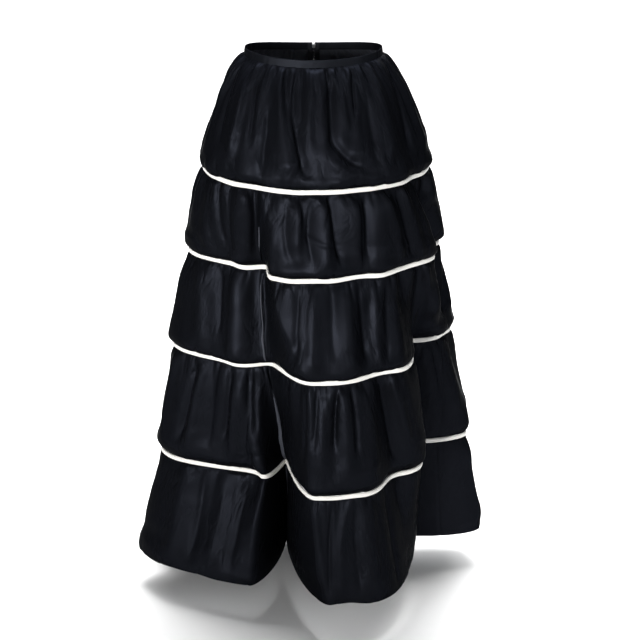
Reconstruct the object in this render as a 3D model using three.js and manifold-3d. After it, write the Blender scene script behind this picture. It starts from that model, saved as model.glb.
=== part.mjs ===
// A floor-length tiered skirt, filled out as if worn: a narrow waistband, five gathered tiers of
// satin, white piping in the four seams between them, and a zip in the centre back.
// Millimetres, +Z up. The origin is the centre of the waistband's top edge, where a waist holds
// the skirt. The front faces -Y, and +X is the wearer's left, on the right seen from the front.
import * as THREE from 'three';
import { mergeVertices } from 'three/addons/utils/BufferGeometryUtils.js';
import Module from 'manifold-3d';

const wasm = await Module();
wasm.setup();

// Cloth and trim
const WALL = 2.0;              // thickness of the tiers and the waistband
const GAP = 0.3;               // clearance between pieces that are sewn together
const SEAM_HALF_GAP = 0.2;     // each panel stops this far before a side seam
const ZIP_HALF_SLIT = 0.3;     // each back panel stops this far before the zip
const BAND_HEIGHT = 15;
const BAND_COLUMNS = 60;
const PIPING_HEIGHT = 9;
const PIPING_FACE = 0.45;      // the share of that height that its blunt nose takes
const PIPING_NOSE = 4;         // how far the piping stands out of the cloth
const PIPING_ROOT = 1.2;       // how far it reaches in between the tiers
const PIPING_COLUMNS = 96;

// Heights are below the origin, at the side of the body. halfWidth runs along X and halfDepth
// along Y. shift moves the ring towards +X, and frontDip and backDip lower it there.
const RINGS = [
  { name: 'waist', height: -15, halfWidth: 129, halfDepth: 93, shift: 0, frontDip: 6, backDip: 13 },
  { name: 'seam_1', height: -225, halfWidth: 209, halfDepth: 188, shift: 4, frontDip: 0, backDip: 2 },
  { name: 'seam_2', height: -386, halfWidth: 236, halfDepth: 212, shift: 1, frontDip: 0, backDip: 3 },
  { name: 'seam_3', height: -571, halfWidth: 272, halfDepth: 248, shift: 0, frontDip: 0, backDip: 3 },
  { name: 'seam_4', height: -792, halfWidth: 302, halfDepth: 262, shift: 3, frontDip: 2, backDip: 3 },
  { name: 'hem', height: -1001, halfWidth: 345, halfDepth: 289, shift: -1, frontDip: 2, backDip: 4 },
];

// Deep folds that fall from tier to tier. Angles are in degrees from the centre front, positive
// towards +X. Each list has one value for each ring, from the waist to the hem. depth is how much
// of the way to the ring's centre the cloth is drawn in, or to the point [X, Y] named by to.
// before and after are the fold's reach to either side of its floor.
const FOLDS = [
  { name: 'left_front', to: [-55, 20],
    angle: [-30, -30, -26.5, -20, -13.5, -11.5], depth: [0, 0.02, 0.24, 0.28, 0.55, 0.9],
    before: [12, 12, 20, 24, 15, 15], after: [12, 12, 7, 20, 13, 17] },
  { name: 'left_step', angle: [-22, -22, -18, -10, -9, -22], depth: [0, 0, 0.02, 0.02, 0.08, 0.1],
    before: [10, 10, 10, 10, 12, 20], after: [10, 10, 8, 11, 10, 10] },
  { name: 'left_flat', angle: [-46, -46, -48, -42, -35, -38], depth: [0, 0, 0.17, 0.2, 0.33, 0.15],
    before: [30, 30, 38, 44, 50, 46], after: [30, 30, 38, 38, 30, 40] },
  { name: 'centre_right', angle: [22, 22, 22, 30, 39, 48], depth: [0, 0.01, 0.06, 0.09, 0.21, 0.24],
    before: [10, 10, 18, 21, 23, 32], after: [10, 10, 11, 26, 26, 26] },
  { name: 'right_upper', angle: [50, 60, 83, 93, 100, 100], depth: [0, 0.03, 0.21, 0.07, 0, 0],
    before: [12, 12, 13, 20, 14, 14], after: [12, 12, 12, 11, 14, 14] },
  { name: 'right_lower', to: [125, 20],
    angle: [46, 46, 48, 65, 76, 79], depth: [0, 0, 0.09, 0.6, 0.88, 0.9],
    before: [12, 12, 26, 28, 33, 42], after: [12, 12, 24, 34, 25, 21] },
  { name: 'back_right', angle: [132, 132, 132, 134, 132, 131], depth: [0, 0.02, 0.14, 0.2, 0.3, 0.4],
    before: [15, 15, 15, 16, 18, 19], after: [15, 15, 15, 17, 19, 20] },
  { name: 'back_centre', angle: [166, 166, 166, 168, 167, 165], depth: [0, 0.01, 0.07, 0.15, 0.2, 0.27],
    before: [12, 12, 12, 13, 14, 15], after: [12, 12, 12, 14, 16, 17] },
  { name: 'back_left', angle: [-156, -156, -156, -157, -158, -156], depth: [0, 0.02, 0.12, 0.22, 0.32, 0.43],
    before: [14, 14, 14, 16, 18, 19], after: [14, 14, 14, 16, 17, 18] },
  { name: 'left_back', angle: [-122, -122, -122, -120, -121, -122], depth: [0, 0.02, 0.1, 0.15, 0.22, 0.3],
    before: [13, 13, 13, 14, 15, 16], after: [13, 13, 13, 14, 15, 16] },
  { name: 'left_side', angle: [-92, -92, -95, -91, -90, -95], depth: [0, 0, 0.02, 0.07, 0.05, 0.13],
    before: [9, 9, 10, 14, 14, 15], after: [9, 9, 13, 9, 9, 13] },
];

// The tiers. gathers is how many small folds the top seam draws in, each four columns wide.
// ripple is the size of those folds. puff is how far the cloth stands out over its lower seam.
// flare is the share of the widening that falls in the upper part of the tier.
const TIERS = [
  { name: 'tier_1', gathers: 28, ripple: 6, puff: 15, flare: 0.72, backSplit: true },
  { name: 'tier_2', gathers: 24, ripple: 7, puff: 16, flare: 0.9, backSplit: false },
  { name: 'tier_3', gathers: 22, ripple: 6, puff: 13, flare: 1.1, backSplit: false },
  { name: 'tier_4', gathers: 28, ripple: 6.5, puff: 16, flare: 1, backSplit: false },
  { name: 'tier_5', gathers: 26, ripple: 5, puff: 5, flare: 1, backSplit: false },
];

// Rows of each tier from its top edge, 0, to its bottom edge, 1. puff and ripple are shares of the
// tier's own values there.
const ROWS = [
  { down: 0, puff: 0, ripple: 0.2 },
  { down: 0.13, puff: 0.35, ripple: 0.9 },
  { down: 0.45, puff: 0.6, ripple: 1 },
  { down: 0.76, puff: 0.88, ripple: 0.8 },
  { down: 0.92, puff: 1, ripple: 0.6 },
  { down: 1, puff: 0, ripple: 0.15 },
];

// The zip, closed, in the centre back. Its tapes and coil lie inside the cloth.
const ZIP_DOWN = 0.76;         // the tape ends this far down the first tier
const ZIP_FLAT = { near: 6, far: 16 }; // no gathers up to near degrees from it, full ones from far
const TAPE_DEPTH = WALL + 0.4; // from the outer face of the cloth to the outer face of the tape
const TAPE_WIDTH = 10;
const TAPE_THICKNESS = 0.8;
const TAPE_TOP = 14;           // above the foot of the waistband
const COIL_THICKNESS = 1.5;
const COIL_TOP = 5;
const COIL_HALF_WIDTH = 0.8;
const COIL_HALF_GAP = 1.1;     // each tape stops this far from the centre
const NOTCH_HALF_WIDTH = 2.5;  // the waistband's ends stand apart at the top
const BAND_LEAN = 0.12;        // how far the waistband leans in for each millimetre up
const SLIDER = { up: 9.5, width: 6, height: 8, depth: 2.4 };
const BAIL = { halfHeight: 2.5, halfWidth: 0.8, reach: 1.6, thick: 0.8 };
const PULL = {
  pivotOut: 1.9, length: 15, width: 5.6, topWidth: 4.5, thick: 0.9, bar: 0.9, eyeHalfWidth: 1.2, eyeLength: 3,
  tilt: 18, curveSegments: 5,
};

const SATIN = { color: 0x14161d, roughness: 0.42, metalness: 0 };
const BAND_SATIN = { color: 0x181a20, roughness: 0.5, metalness: 0 };
const PIPING_SATIN = { color: 0xf3f1ea, roughness: 0.55, metalness: 0 };
const ZIP_TAPE = { color: 0x101216, roughness: 0.8, metalness: 0 };
const ZIP_METAL = { color: 0x9a9ca0, roughness: 0.35, metalness: 0.9 };

const radians = THREE.MathUtils.degToRad;
const lerp = THREE.MathUtils.lerp;

// A value of a list at a level, where 0 is the waist, 1 the first seam and 5 the hem.
function atLevel(list, level) {
  const lower = Math.min(Math.floor(level), list.length - 2);
  return lerp(list[lower], list[lower + 1], level - lower);
}

const ringValue = (key, level) => atLevel(RINGS.map((ring) => ring[key]), level);

// A bell of height 1 at 0 that falls to 0 at -1 and 1.
const bell = (s) => (Math.abs(s) < 1 ? 0.5 + 0.5 * Math.cos(Math.PI * s) : 0);

// Degrees brought to between -180 and 180.
const wrapped = (degrees) => degrees - 360 * Math.round(degrees / 360);

// The skirt's section at a level: an ellipse with the folds drawn in.
function sectionPoint(level, angle) {
  const turn = radians(angle);
  const centre = new THREE.Vector2(ringValue('shift', level), 0);
  const point = new THREE.Vector2(
    centre.x + ringValue('halfWidth', level) * Math.sin(turn),
    -ringValue('halfDepth', level) * Math.cos(turn),
  );
  for (const fold of FOLDS) {
    const off = wrapped(angle - atLevel(fold.angle, level));
    const reach = atLevel(off < 0 ? fold.before : fold.after, level);
    const goal = fold.to ? new THREE.Vector2(...fold.to) : centre;
    point.lerp(goal, atLevel(fold.depth, level) * bell(off / reach));
  }
  return point;
}

// The outward direction of the section, square to it.
function sectionNormal(level, angle) {
  const step = 0.4;
  const along = sectionPoint(level, angle + step).sub(sectionPoint(level, angle - step));
  return new THREE.Vector2(along.y, -along.x).normalize();
}

// Height of a ring at an angle: level at the sides, lower at the front and the back.
function ringHeight(level, angle) {
  const facing = Math.cos(radians(angle));
  const dip = facing > 0 ? ringValue('frontDip', level) : ringValue('backDip', level);
  return ringValue('height', level) - dip * facing * facing;
}

// Angles from one end of a panel to the other, with the same length of cloth between them.
function evenAngles(level, from, to, count) {
  const fine = 600; // short steps along the curve
  const lengths = [0];
  for (let i = 1; i <= fine; i += 1) {
    const before = sectionPoint(level, lerp(from, to, (i - 1) / fine));
    const here = sectionPoint(level, lerp(from, to, i / fine));
    lengths.push(lengths[i - 1] + here.distanceTo(before));
  }
  const angles = [];
  let i = 0;
  for (let column = 0; column <= count; column += 1) {
    const wanted = (lengths[fine] * column) / count;
    while (i < fine - 1 && lengths[i + 1] < wanted) i += 1;
    const part = (wanted - lengths[i]) / (lengths[i + 1] - lengths[i]);
    angles.push(lerp(from, to, (i + part) / fine));
  }
  return angles;
}

// The edges of a tier: its top hangs from the ring above and its bottom ends over the piping.
function tierEdges(index, angle) {
  const half = PIPING_HEIGHT / 2 + GAP;
  const top = ringHeight(index, angle) - (index === 0 ? GAP : half);
  const bottom = ringHeight(index + 1, angle) + (index === TIERS.length - 1 ? 0 : half);
  return { top, bottom };
}

// Small folds differ: each has its own size, and every third one fades out below the top seam.
function rippleSize(index, gather, down) {
  const own = 1 + 0.35 * Math.sin(gather * 2.4 + index * 1.7) + 0.2 * Math.sin(gather * 5.1 + index);
  const fades = gather % 3 === 1 ? 1 - 0.75 * down : 1;
  return own * fades;
}

// The level of a row of a tier: the tier widens faster at its top than at its bottom.
const rowLevel = (index, row) => index + row.down ** TIERS[index].flare;

// A point of a tier's outer face. column counts quarters of a gather round the skirt.
function tierPoint(index, angle, column, row) {
  const tier = TIERS[index];
  const level = rowLevel(index, row);
  const { top, bottom } = tierEdges(index, angle);
  const gather = (Math.round(column / 4) + tier.gathers) % tier.gathers;
  const fromZip = Math.max(Math.abs(wrapped(angle - 180)) - ZIP_FLAT.near, 0);
  const flat = tier.backSplit ? 1 - bell(fromZip / (ZIP_FLAT.far - ZIP_FLAT.near)) : 1;
  const ripple = tier.ripple * row.ripple * rippleSize(index, gather, row.down) * flat;
  // The walls of a deep fold face sideways. They neither puff out nor ripple.
  const normal = sectionNormal(level, angle);
  const outward = new THREE.Vector2(Math.sin(radians(angle)), -Math.cos(radians(angle)));
  const facing = Math.max(normal.dot(outward), 0);
  const out = facing * (tier.puff * row.puff + ripple * Math.cos((Math.PI * column) / 2));
  const plan = sectionPoint(level, angle).addScaledVector(normal, out);
  return new THREE.Vector3(plan.x, plan.y, lerp(top, bottom, row.down));
}

// A closed solid from a grid of outer points and a grid of inner points behind them. Rows run
// down and columns run to the right seen from outside. A ring joins its last column to its first.
function wallGeometry(outer, inner, isRing = false) {
  const rows = outer.length;
  const columns = outer[0].length;
  const positions = [...outer.flat(), ...inner.flat()].flatMap((p) => [p.x, p.y, p.z]);
  const out = (r, c) => r * columns + (c % columns);
  const back = (r, c) => rows * columns + out(r, c);
  const indices = [];
  const quad = (a, b, c, d) => indices.push(a, b, c, a, c, d);
  const spans = isRing ? columns : columns - 1;
  for (let c = 0; c < spans; c += 1) {
    for (let r = 0; r < rows - 1; r += 1) {
      quad(out(r, c), out(r + 1, c), out(r + 1, c + 1), out(r, c + 1));
      quad(back(r, c), back(r, c + 1), back(r + 1, c + 1), back(r + 1, c));
    }
    quad(out(0, c), out(0, c + 1), back(0, c + 1), back(0, c));
    quad(out(rows - 1, c), back(rows - 1, c), back(rows - 1, c + 1), out(rows - 1, c + 1));
  }
  if (!isRing) {
    const end = columns - 1;
    for (let r = 0; r < rows - 1; r += 1) {
      quad(out(r, 0), back(r, 0), back(r + 1, 0), out(r + 1, 0));
      quad(out(r, end), out(r + 1, end), back(r + 1, end), back(r, end));
    }
  }
  const geometry = new THREE.BufferGeometry();
  geometry.setAttribute('position', new THREE.Float32BufferAttribute(positions, 3));
  geometry.setIndex(indices);
  geometry.computeVertexNormals();
  return geometry;
}

// A wall from a grid of points on its outer face. The grid has one spare column at each end, which
// only gives the slope there. The top and bottom edges are cut level.
function wall(grid, thickness) {
  const lastRow = grid.length - 1;
  const inner = grid.map((points, r) => points.slice(1, -1).map((point, i) => {
    const down = grid[Math.min(r + 1, lastRow)][i + 1].clone().sub(grid[Math.max(r - 1, 0)][i + 1]);
    const along = points[i + 2].clone().sub(points[i]);
    const normal = down.cross(along);
    if (r === 0 || r === lastRow) normal.z = 0;
    return point.clone().addScaledVector(normal.normalize(), -thickness);
  }));
  return wallGeometry(grid.map((points) => points.slice(1, -1)), inner);
}

// Angles with one more past each end.
const withSpares = (angles) => [2 * angles[0] - angles[1], ...angles, 2 * angles.at(-1) - angles.at(-2)];

// The degrees that a length takes up on a ring near an angle.
function degreesFor(level, angle, length) {
  const step = 0.5;
  const run = sectionPoint(level, angle + step).distanceTo(sectionPoint(level, angle - step));
  return (length * 2 * step) / run;
}

function mesh(name, geometry, look) {
  const made = new THREE.Mesh(geometry, new THREE.MeshStandardMaterial(look));
  made.name = name;
  return made;
}

// A tier is cut as a front and a back. The first tier's back is in two, with the zip between.
function tierPanels(index) {
  const tier = TIERS[index];
  const columns = tier.gathers * 4;
  const seam = degreesFor(index + 0.5, 90, SEAM_HALF_GAP);
  const slit = degreesFor(index + 0.5, 180, ZIP_HALF_SLIT);
  const cuts = [{ suffix: 'front', from: -90 + seam, to: 90 - seam, start: -columns / 4, count: columns / 2 }];
  if (tier.backSplit) {
    cuts.push({ suffix: 'back_left', from: 90 + seam, to: 180 - slit, start: columns / 4, count: columns / 4 });
    cuts.push({ suffix: 'back_right', from: 180 + slit, to: 270 - seam, start: columns / 2, count: columns / 4 });
  } else {
    cuts.push({ suffix: 'back', from: 90 + seam, to: 270 - seam, start: columns / 4, count: columns / 2 });
  }
  return cuts.map((cut) => {
    const grid = ROWS.map((row) => (
      withSpares(evenAngles(rowLevel(index, row), cut.from, cut.to, cut.count))
        .map((angle, i) => tierPoint(index, angle, cut.start + i - 1, row))
    ));
    return mesh(`${tier.name}_${cut.suffix}`, wall(grid, WALL), SATIN);
  });
}

// Piping round a seam, as one closed ring with a blunt nose.
function piping(level) {
  const angles = evenAngles(level, -180, 180, PIPING_COLUMNS).slice(0, -1);
  const edge = PIPING_HEIGHT / 2;
  const section = [
    { out: PIPING_NOSE, up: edge * PIPING_FACE },
    { out: PIPING_NOSE, up: -edge * PIPING_FACE },
    { out: -PIPING_ROOT, up: -edge },
    { out: -PIPING_ROOT, up: edge },
  ];
  const ringOf = ({ out, up }) => angles.map((angle) => {
    const plan = sectionPoint(level, angle).addScaledVector(sectionNormal(level, angle), out);
    return new THREE.Vector3(plan.x, plan.y, ringHeight(level, angle) + up);
  });
  const [high, low, innerLow, innerHigh] = section.map(ringOf);
  return mesh(`piping_${level}`, wallGeometry([high, low], [innerHigh, innerLow], true), PIPING_SATIN);
}

// A point on the waistband's outer face. up is the height above its lower edge.
function bandPoint(angle, up) {
  const plan = sectionPoint(0, angle).addScaledVector(sectionNormal(0, angle), -BAND_LEAN * up);
  return new THREE.Vector3(plan.x, plan.y, ringHeight(0, angle) + up);
}

// The waistband runs from one side of the zip round the front to the other. Its ends stand
// further apart at the top edge.
function waistband() {
  const heights = [BAND_HEIGHT, 0];
  const halfGaps = [NOTCH_HALF_WIDTH, ZIP_HALF_SLIT];
  const grid = heights.map((up, r) => {
    const gap = degreesFor(0, 180, halfGaps[r]);
    return withSpares(evenAngles(0, -180 + gap, 180 - gap, BAND_COLUMNS)).map((angle) => bandPoint(angle, up));
  });
  return mesh('waistband', wall(grid, WALL), BAND_SATIN);
}

// The cloth's profile down the centre back, as distance out from the axis and height: down the
// waistband from a height above its foot, and then down the first tier.
function backProfile(fromUp) {
  const band = [bandPoint(180, fromUp), bandPoint(180, 0)];
  const rows = ROWS.filter((row) => row.down > 0 && row.down <= ZIP_DOWN);
  const tier = rows.map((row) => tierPoint(0, 180, TIERS[0].gathers * 2, row));
  return [...band, ...tier].map((p) => new THREE.Vector2(p.y, p.z));
}

// The profile moved in towards the axis, square to itself.
function profileMovedIn(profile, distance) {
  return profile.map((point, i) => {
    const before = profile[Math.max(i - 1, 0)];
    const after = profile[Math.min(i + 1, profile.length - 1)];
    const along = after.clone().sub(before).normalize();
    return new THREE.Vector2(point.x + along.y * distance, point.y - along.x * distance);
  });
}

// A strip of the zip behind the cloth, between two X planes, from a height above the waistband's
// foot. Its two faces curve with the cloth.
function zipStrip(name, from, to, fromUp, thickness) {
  const profile = backProfile(fromUp);
  const bend = RINGS[0].halfDepth / (2 * RINGS[0].halfWidth ** 2);
  const face = (distance) => profileMovedIn(profile, distance).map((p) => (
    [to, from].map((x) => new THREE.Vector3(x, p.x - bend * x * x, p.y))
  ));
  return mesh(name, wallGeometry(face(TAPE_DEPTH), face(TAPE_DEPTH + thickness)), ZIP_TAPE);
}

// A prism centred on X from an outline of [out, up] corners, where out is away from the wearer.
function backPrism(outline, halfWidth, holes = []) {
  const path = (corners) => corners.map(([out, up]) => new THREE.Vector2(out, up));
  const shape = new THREE.Shape(path(outline));
  shape.holes = holes.map((hole) => new THREE.Path(path(hole)));
  const geometry = new THREE.ExtrudeGeometry(shape, { depth: 2 * halfWidth, bevelEnabled: false });
  // The extrusion's own X, Y and Z become Y, Z and X.
  return geometry.translate(0, 0, -halfWidth).applyMatrix4(new THREE.Matrix4().set(
    0, 0, 1, 0,
    1, 0, 0, 0,
    0, 1, 0, 0,
    0, 0, 0, 1,
  ));
}

const rectangle = (left, right, low, high) => [[left, low], [right, low], [right, high], [left, high]];

// Closed meshes joined into one.
function joined(geometries) {
  const solids = geometries.map((geometry) => {
    const bare = geometry.clone();
    bare.deleteAttribute('normal');
    bare.deleteAttribute('uv');
    const merged = mergeVertices(bare, 1e-4);
    return new wasm.Manifold(new wasm.Mesh({
      numProp: 3,
      vertProperties: merged.attributes.position.array,
      triVerts: new Uint32Array(merged.index.array),
    }));
  });
  const whole = solids.reduce((sum, solid) => sum.add(solid)).getMesh();
  const geometry = new THREE.BufferGeometry();
  geometry.setAttribute('position', new THREE.BufferAttribute(whole.vertProperties, 3));
  geometry.setIndex(new THREE.BufferAttribute(whole.triVerts, 1));
  geometry.computeVertexNormals();
  return geometry;
}

// Where the pull tab turns, outside the waistband's notch. It turns about X.
const pullPivot = () => bandPoint(180, SLIDER.up).add(new THREE.Vector3(0, PULL.pivotOut, 0));

// The slider's body lies inside the tapes. Its neck comes out through the notch and ends in a bail
// for the pull tab.
function zipSlider() {
  const bodyOuter = -(PULL.pivotOut + TAPE_DEPTH + TAPE_THICKNESS + GAP);
  const half = SLIDER.height / 2;
  const body = backPrism(rectangle(bodyOuter - SLIDER.depth, bodyOuter, -half, half), SLIDER.width / 2);
  const hole = BAIL.reach - BAIL.thick;
  const holeHalf = BAIL.halfHeight - BAIL.thick;
  const neck = backPrism(
    rectangle(bodyOuter - SLIDER.depth / 2, BAIL.reach, -BAIL.halfHeight, BAIL.halfHeight),
    BAIL.halfWidth,
    [rectangle(-hole, hole, -holeHalf, holeHalf)],
  );
  const made = mesh('zip_slider', joined([body, neck]), ZIP_METAL);
  made.position.copy(pullPivot());
  made.rotation.x = Math.atan(BAND_LEAN);
  return made;
}

// The pull tab: a bar inside the bail, an eye that the bail passes through, and a rounded end.
function zipPull() {
  const half = PULL.width / 2;
  const bar = PULL.bar / 2;
  const outline = new THREE.Shape();
  outline.moveTo(-PULL.topWidth / 2, bar);
  outline.lineTo(-half, -PULL.eyeLength);
  outline.absarc(0, half - PULL.length, half, Math.PI, 2 * Math.PI, false);
  outline.lineTo(half, -PULL.eyeLength);
  outline.lineTo(PULL.topWidth / 2, bar);
  const eye = rectangle(-PULL.eyeHalfWidth, PULL.eyeHalfWidth, -bar - PULL.eyeLength, -bar);
  outline.holes = [new THREE.Path(eye.map(([x, y]) => new THREE.Vector2(x, y)))];
  const plate = new THREE.ExtrudeGeometry(outline, {
    depth: PULL.thick, bevelEnabled: false, curveSegments: PULL.curveSegments,
  });
  // The outline's Y becomes Z.
  plate.translate(0, 0, -PULL.thick / 2).rotateX(Math.PI / 2);
  const made = mesh('zip_pull', plate, ZIP_METAL);
  made.position.copy(pullPivot());
  made.rotation.x = radians(PULL.tilt);
  return made;
}

const skirt = new THREE.Group();
skirt.add(waistband());
TIERS.forEach((tier, index) => skirt.add(...tierPanels(index)));
[1, 2, 3, 4].forEach((level) => skirt.add(piping(level)));
skirt.add(
  zipStrip('zip_tape_left', COIL_HALF_GAP, COIL_HALF_GAP + TAPE_WIDTH, TAPE_TOP, TAPE_THICKNESS),
  zipStrip('zip_tape_right', -COIL_HALF_GAP - TAPE_WIDTH, -COIL_HALF_GAP, TAPE_TOP, TAPE_THICKNESS),
  zipStrip('zip_coil', -COIL_HALF_WIDTH, COIL_HALF_WIDTH, COIL_TOP, COIL_THICKNESS),
  zipSlider(),
  zipPull(),
);

export default skirt;
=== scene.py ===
"""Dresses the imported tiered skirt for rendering.

The five satin tiers, the piping, the waistband and the zip are made here at a finer size on the
form that the CAD part gives them. Sizes in the tables are in millimetres, as in the CAD source,
and meshes are in metres. The front faces -Y and +X is the wearer's left.
"""

from __future__ import annotations

import logging
import math
from dataclasses import dataclass
from enum import Enum
from typing import ClassVar

import bpy
import numpy as np
from mathutils import Matrix, Vector

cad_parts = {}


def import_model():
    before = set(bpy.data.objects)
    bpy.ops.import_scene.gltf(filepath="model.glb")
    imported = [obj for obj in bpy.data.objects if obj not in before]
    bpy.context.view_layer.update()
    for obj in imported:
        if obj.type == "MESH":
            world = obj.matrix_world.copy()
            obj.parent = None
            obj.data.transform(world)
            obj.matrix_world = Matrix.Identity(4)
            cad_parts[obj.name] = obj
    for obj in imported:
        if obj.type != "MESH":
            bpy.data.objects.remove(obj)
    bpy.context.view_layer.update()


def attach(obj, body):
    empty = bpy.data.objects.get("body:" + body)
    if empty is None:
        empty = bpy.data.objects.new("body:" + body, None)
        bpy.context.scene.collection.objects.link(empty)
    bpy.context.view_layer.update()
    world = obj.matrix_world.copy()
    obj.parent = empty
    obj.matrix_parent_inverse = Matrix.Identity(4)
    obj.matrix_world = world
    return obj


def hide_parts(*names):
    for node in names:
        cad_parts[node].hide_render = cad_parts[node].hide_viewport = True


log = logging.getLogger("skirt")

MM = 0.001
# Room between the slider and the tapes.
GAP = 0.3
BAND_HEIGHT = 15.0
# How far the waistband leans in for each millimetre up.
BAND_LEAN = 0.12
PIPING_HEIGHT = 9.0
# How far the piping stands out from the cloth's face, and reaches in behind it.
PIPING_NOSE = 4.0
PIPING_ROOT = 1.2
# The thickness of the solids' walls and of the cloth made here.
WALL = 2.0
CLOTH = 1.1
CREASE_SPREAD = 1.3
# The share of the way round at which the zip stands.
BACK_SHARE = 0.75
TAPE_DEPTH = WALL + 0.4
ZIP_HALF_SLIT = 0.3
NOTCH_HALF_WIDTH = 2.5
# The share of the first tier that the zip runs down.
ZIP_DOWN = 0.76
# Degrees from the zip at which the gathers begin and are full.
ZIP_FLAT = (6.0, 16.0)
# In metres: the length of the waistband and the level of the floor.
WAIST = 0.7
FLOOR_LEVEL = -1.075


class Body(Enum):
    """The frame's bodies."""

    SKIRT = "skirt"
    PULL = "zip_pull"


class Slot(Enum):
    """The record's material slots."""

    SATIN = "satin"
    PIPING = "piping_satin"
    ZIP_CLOTH = "zip_cloth"
    ZIP_METAL = "zip_metal"


class Seam(Enum):
    """A tier's two seams, as shares of the way down."""

    TOP = 0
    FOOT = 1


@dataclass(frozen=True)
class Ring:
    """One level of the skirt: an ellipse at a height below the waist."""

    name: str
    height: float
    half_width: float
    half_depth: float
    shift: float
    front_dip: float
    back_dip: float


@dataclass(frozen=True)
class Fold:
    """A deep fold that falls through the tiers, with one value for each ring.

    depth is how much of the way to the goal the cloth is drawn in. before and after are the
    fold's reach in degrees to either side of its floor.
    """

    name: str
    angle: tuple[float, ...]
    depth: tuple[float, ...]
    before: tuple[float, ...]
    after: tuple[float, ...]
    goal: tuple[float, float] | None = None


@dataclass(frozen=True)
class Tier:
    """One gathered tier, and how finely its cloth is made."""

    name: str
    gathers: int
    ripple: float
    puff: float
    flare: float
    columns: int
    rows: int
    back_split: bool = False


RINGS = (
    Ring("waist", -15, 129, 93, 0, 6, 13),
    Ring("seam_1", -225, 209, 188, 4, 0, 2),
    Ring("seam_2", -386, 236, 212, 1, 0, 3),
    Ring("seam_3", -571, 272, 248, 0, 0, 3),
    Ring("seam_4", -792, 302, 262, 3, 2, 3),
    Ring("hem", -1001, 345, 289, -1, 2, 4),
)

FOLDS = (
    Fold("left_front", (-30, -30, -26.5, -20, -13.5, -11.5), (0, 0.02, 0.24, 0.28, 0.55, 0.9),
         (12, 12, 20, 24, 15, 15), (12, 12, 7, 20, 13, 17), goal=(-55, 20)),
    Fold("left_step", (-22, -22, -18, -10, -9, -22), (0, 0, 0.02, 0.02, 0.08, 0.1),
         (10, 10, 10, 10, 12, 20), (10, 10, 8, 11, 10, 10)),
    Fold("left_flat", (-46, -46, -48, -42, -35, -38), (0, 0, 0.17, 0.2, 0.33, 0.15),
         (30, 30, 38, 44, 50, 46), (30, 30, 38, 38, 30, 40)),
    Fold("centre_right", (22, 22, 22, 30, 39, 48), (0, 0.01, 0.06, 0.09, 0.21, 0.24),
         (10, 10, 18, 21, 23, 32), (10, 10, 11, 26, 26, 26)),
    Fold("right_upper", (50, 60, 83, 93, 100, 100), (0, 0.03, 0.21, 0.07, 0, 0),
         (12, 12, 13, 20, 14, 14), (12, 12, 12, 11, 14, 14)),
    Fold("right_lower", (46, 46, 48, 65, 76, 79), (0, 0, 0.09, 0.6, 0.88, 0.9),
         (12, 12, 26, 28, 33, 42), (12, 12, 24, 34, 25, 21), goal=(125, 20)),
    Fold("back_right", (132, 132, 132, 134, 132, 131), (0, 0.02, 0.14, 0.2, 0.3, 0.4),
         (15, 15, 15, 16, 18, 19), (15, 15, 15, 17, 19, 20)),
    Fold("back_centre", (166, 166, 166, 168, 167, 165), (0, 0.01, 0.07, 0.15, 0.2, 0.27),
         (12, 12, 12, 13, 14, 15), (12, 12, 12, 14, 16, 17)),
    Fold("back_left", (-156, -156, -156, -157, -158, -156), (0, 0.02, 0.12, 0.22, 0.32, 0.43),
         (14, 14, 14, 16, 18, 19), (14, 14, 14, 16, 17, 18)),
    Fold("left_back", (-122, -122, -122, -120, -121, -122), (0, 0.02, 0.1, 0.15, 0.22, 0.3),
         (13, 13, 13, 14, 15, 16), (13, 13, 13, 14, 15, 16)),
    Fold("left_side", (-92, -92, -95, -91, -90, -95), (0, 0, 0.02, 0.07, 0.05, 0.13),
         (9, 9, 10, 14, 14, 15), (9, 9, 13, 9, 9, 13)),
)

TIERS = (
    Tier("tier_1", 28, 4.5, 15, 0.72, columns=640, rows=64, back_split=True),
    Tier("tier_2", 24, 7, 16, 0.9, columns=620, rows=54),
    Tier("tier_3", 22, 6, 13, 1.1, columns=640, rows=57),
    Tier("tier_4", 28, 6.5, 16, 1.0, columns=720, rows=64),
    Tier("tier_5", 26, 4, 5, 1.0, columns=700, rows=62),
)


def bell(s: np.ndarray) -> np.ndarray:
    """Rises from 0 at -1 to 1 at 0 and falls back to 0 at 1."""
    return np.where(np.abs(s) < 1, 0.5 + 0.5 * np.cos(np.pi * np.clip(s, -1, 1)), 0.0)


def smooth(t: np.ndarray) -> np.ndarray:
    """Eases from 0 to 1 over the same range."""
    t = np.clip(t, 0, 1)
    return t * t * (3 - 2 * t)


def wrapped(degrees: np.ndarray) -> np.ndarray:
    """Brings degrees to between -180 and 180."""
    return degrees - 360 * np.round(degrees / 360)


def at_level(values: tuple[float, ...], level: np.ndarray) -> np.ndarray:
    """A value of a per-ring list at a level, 0 for the waist and 5 for the hem."""
    return np.interp(level, np.arange(len(values)), values)


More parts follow.
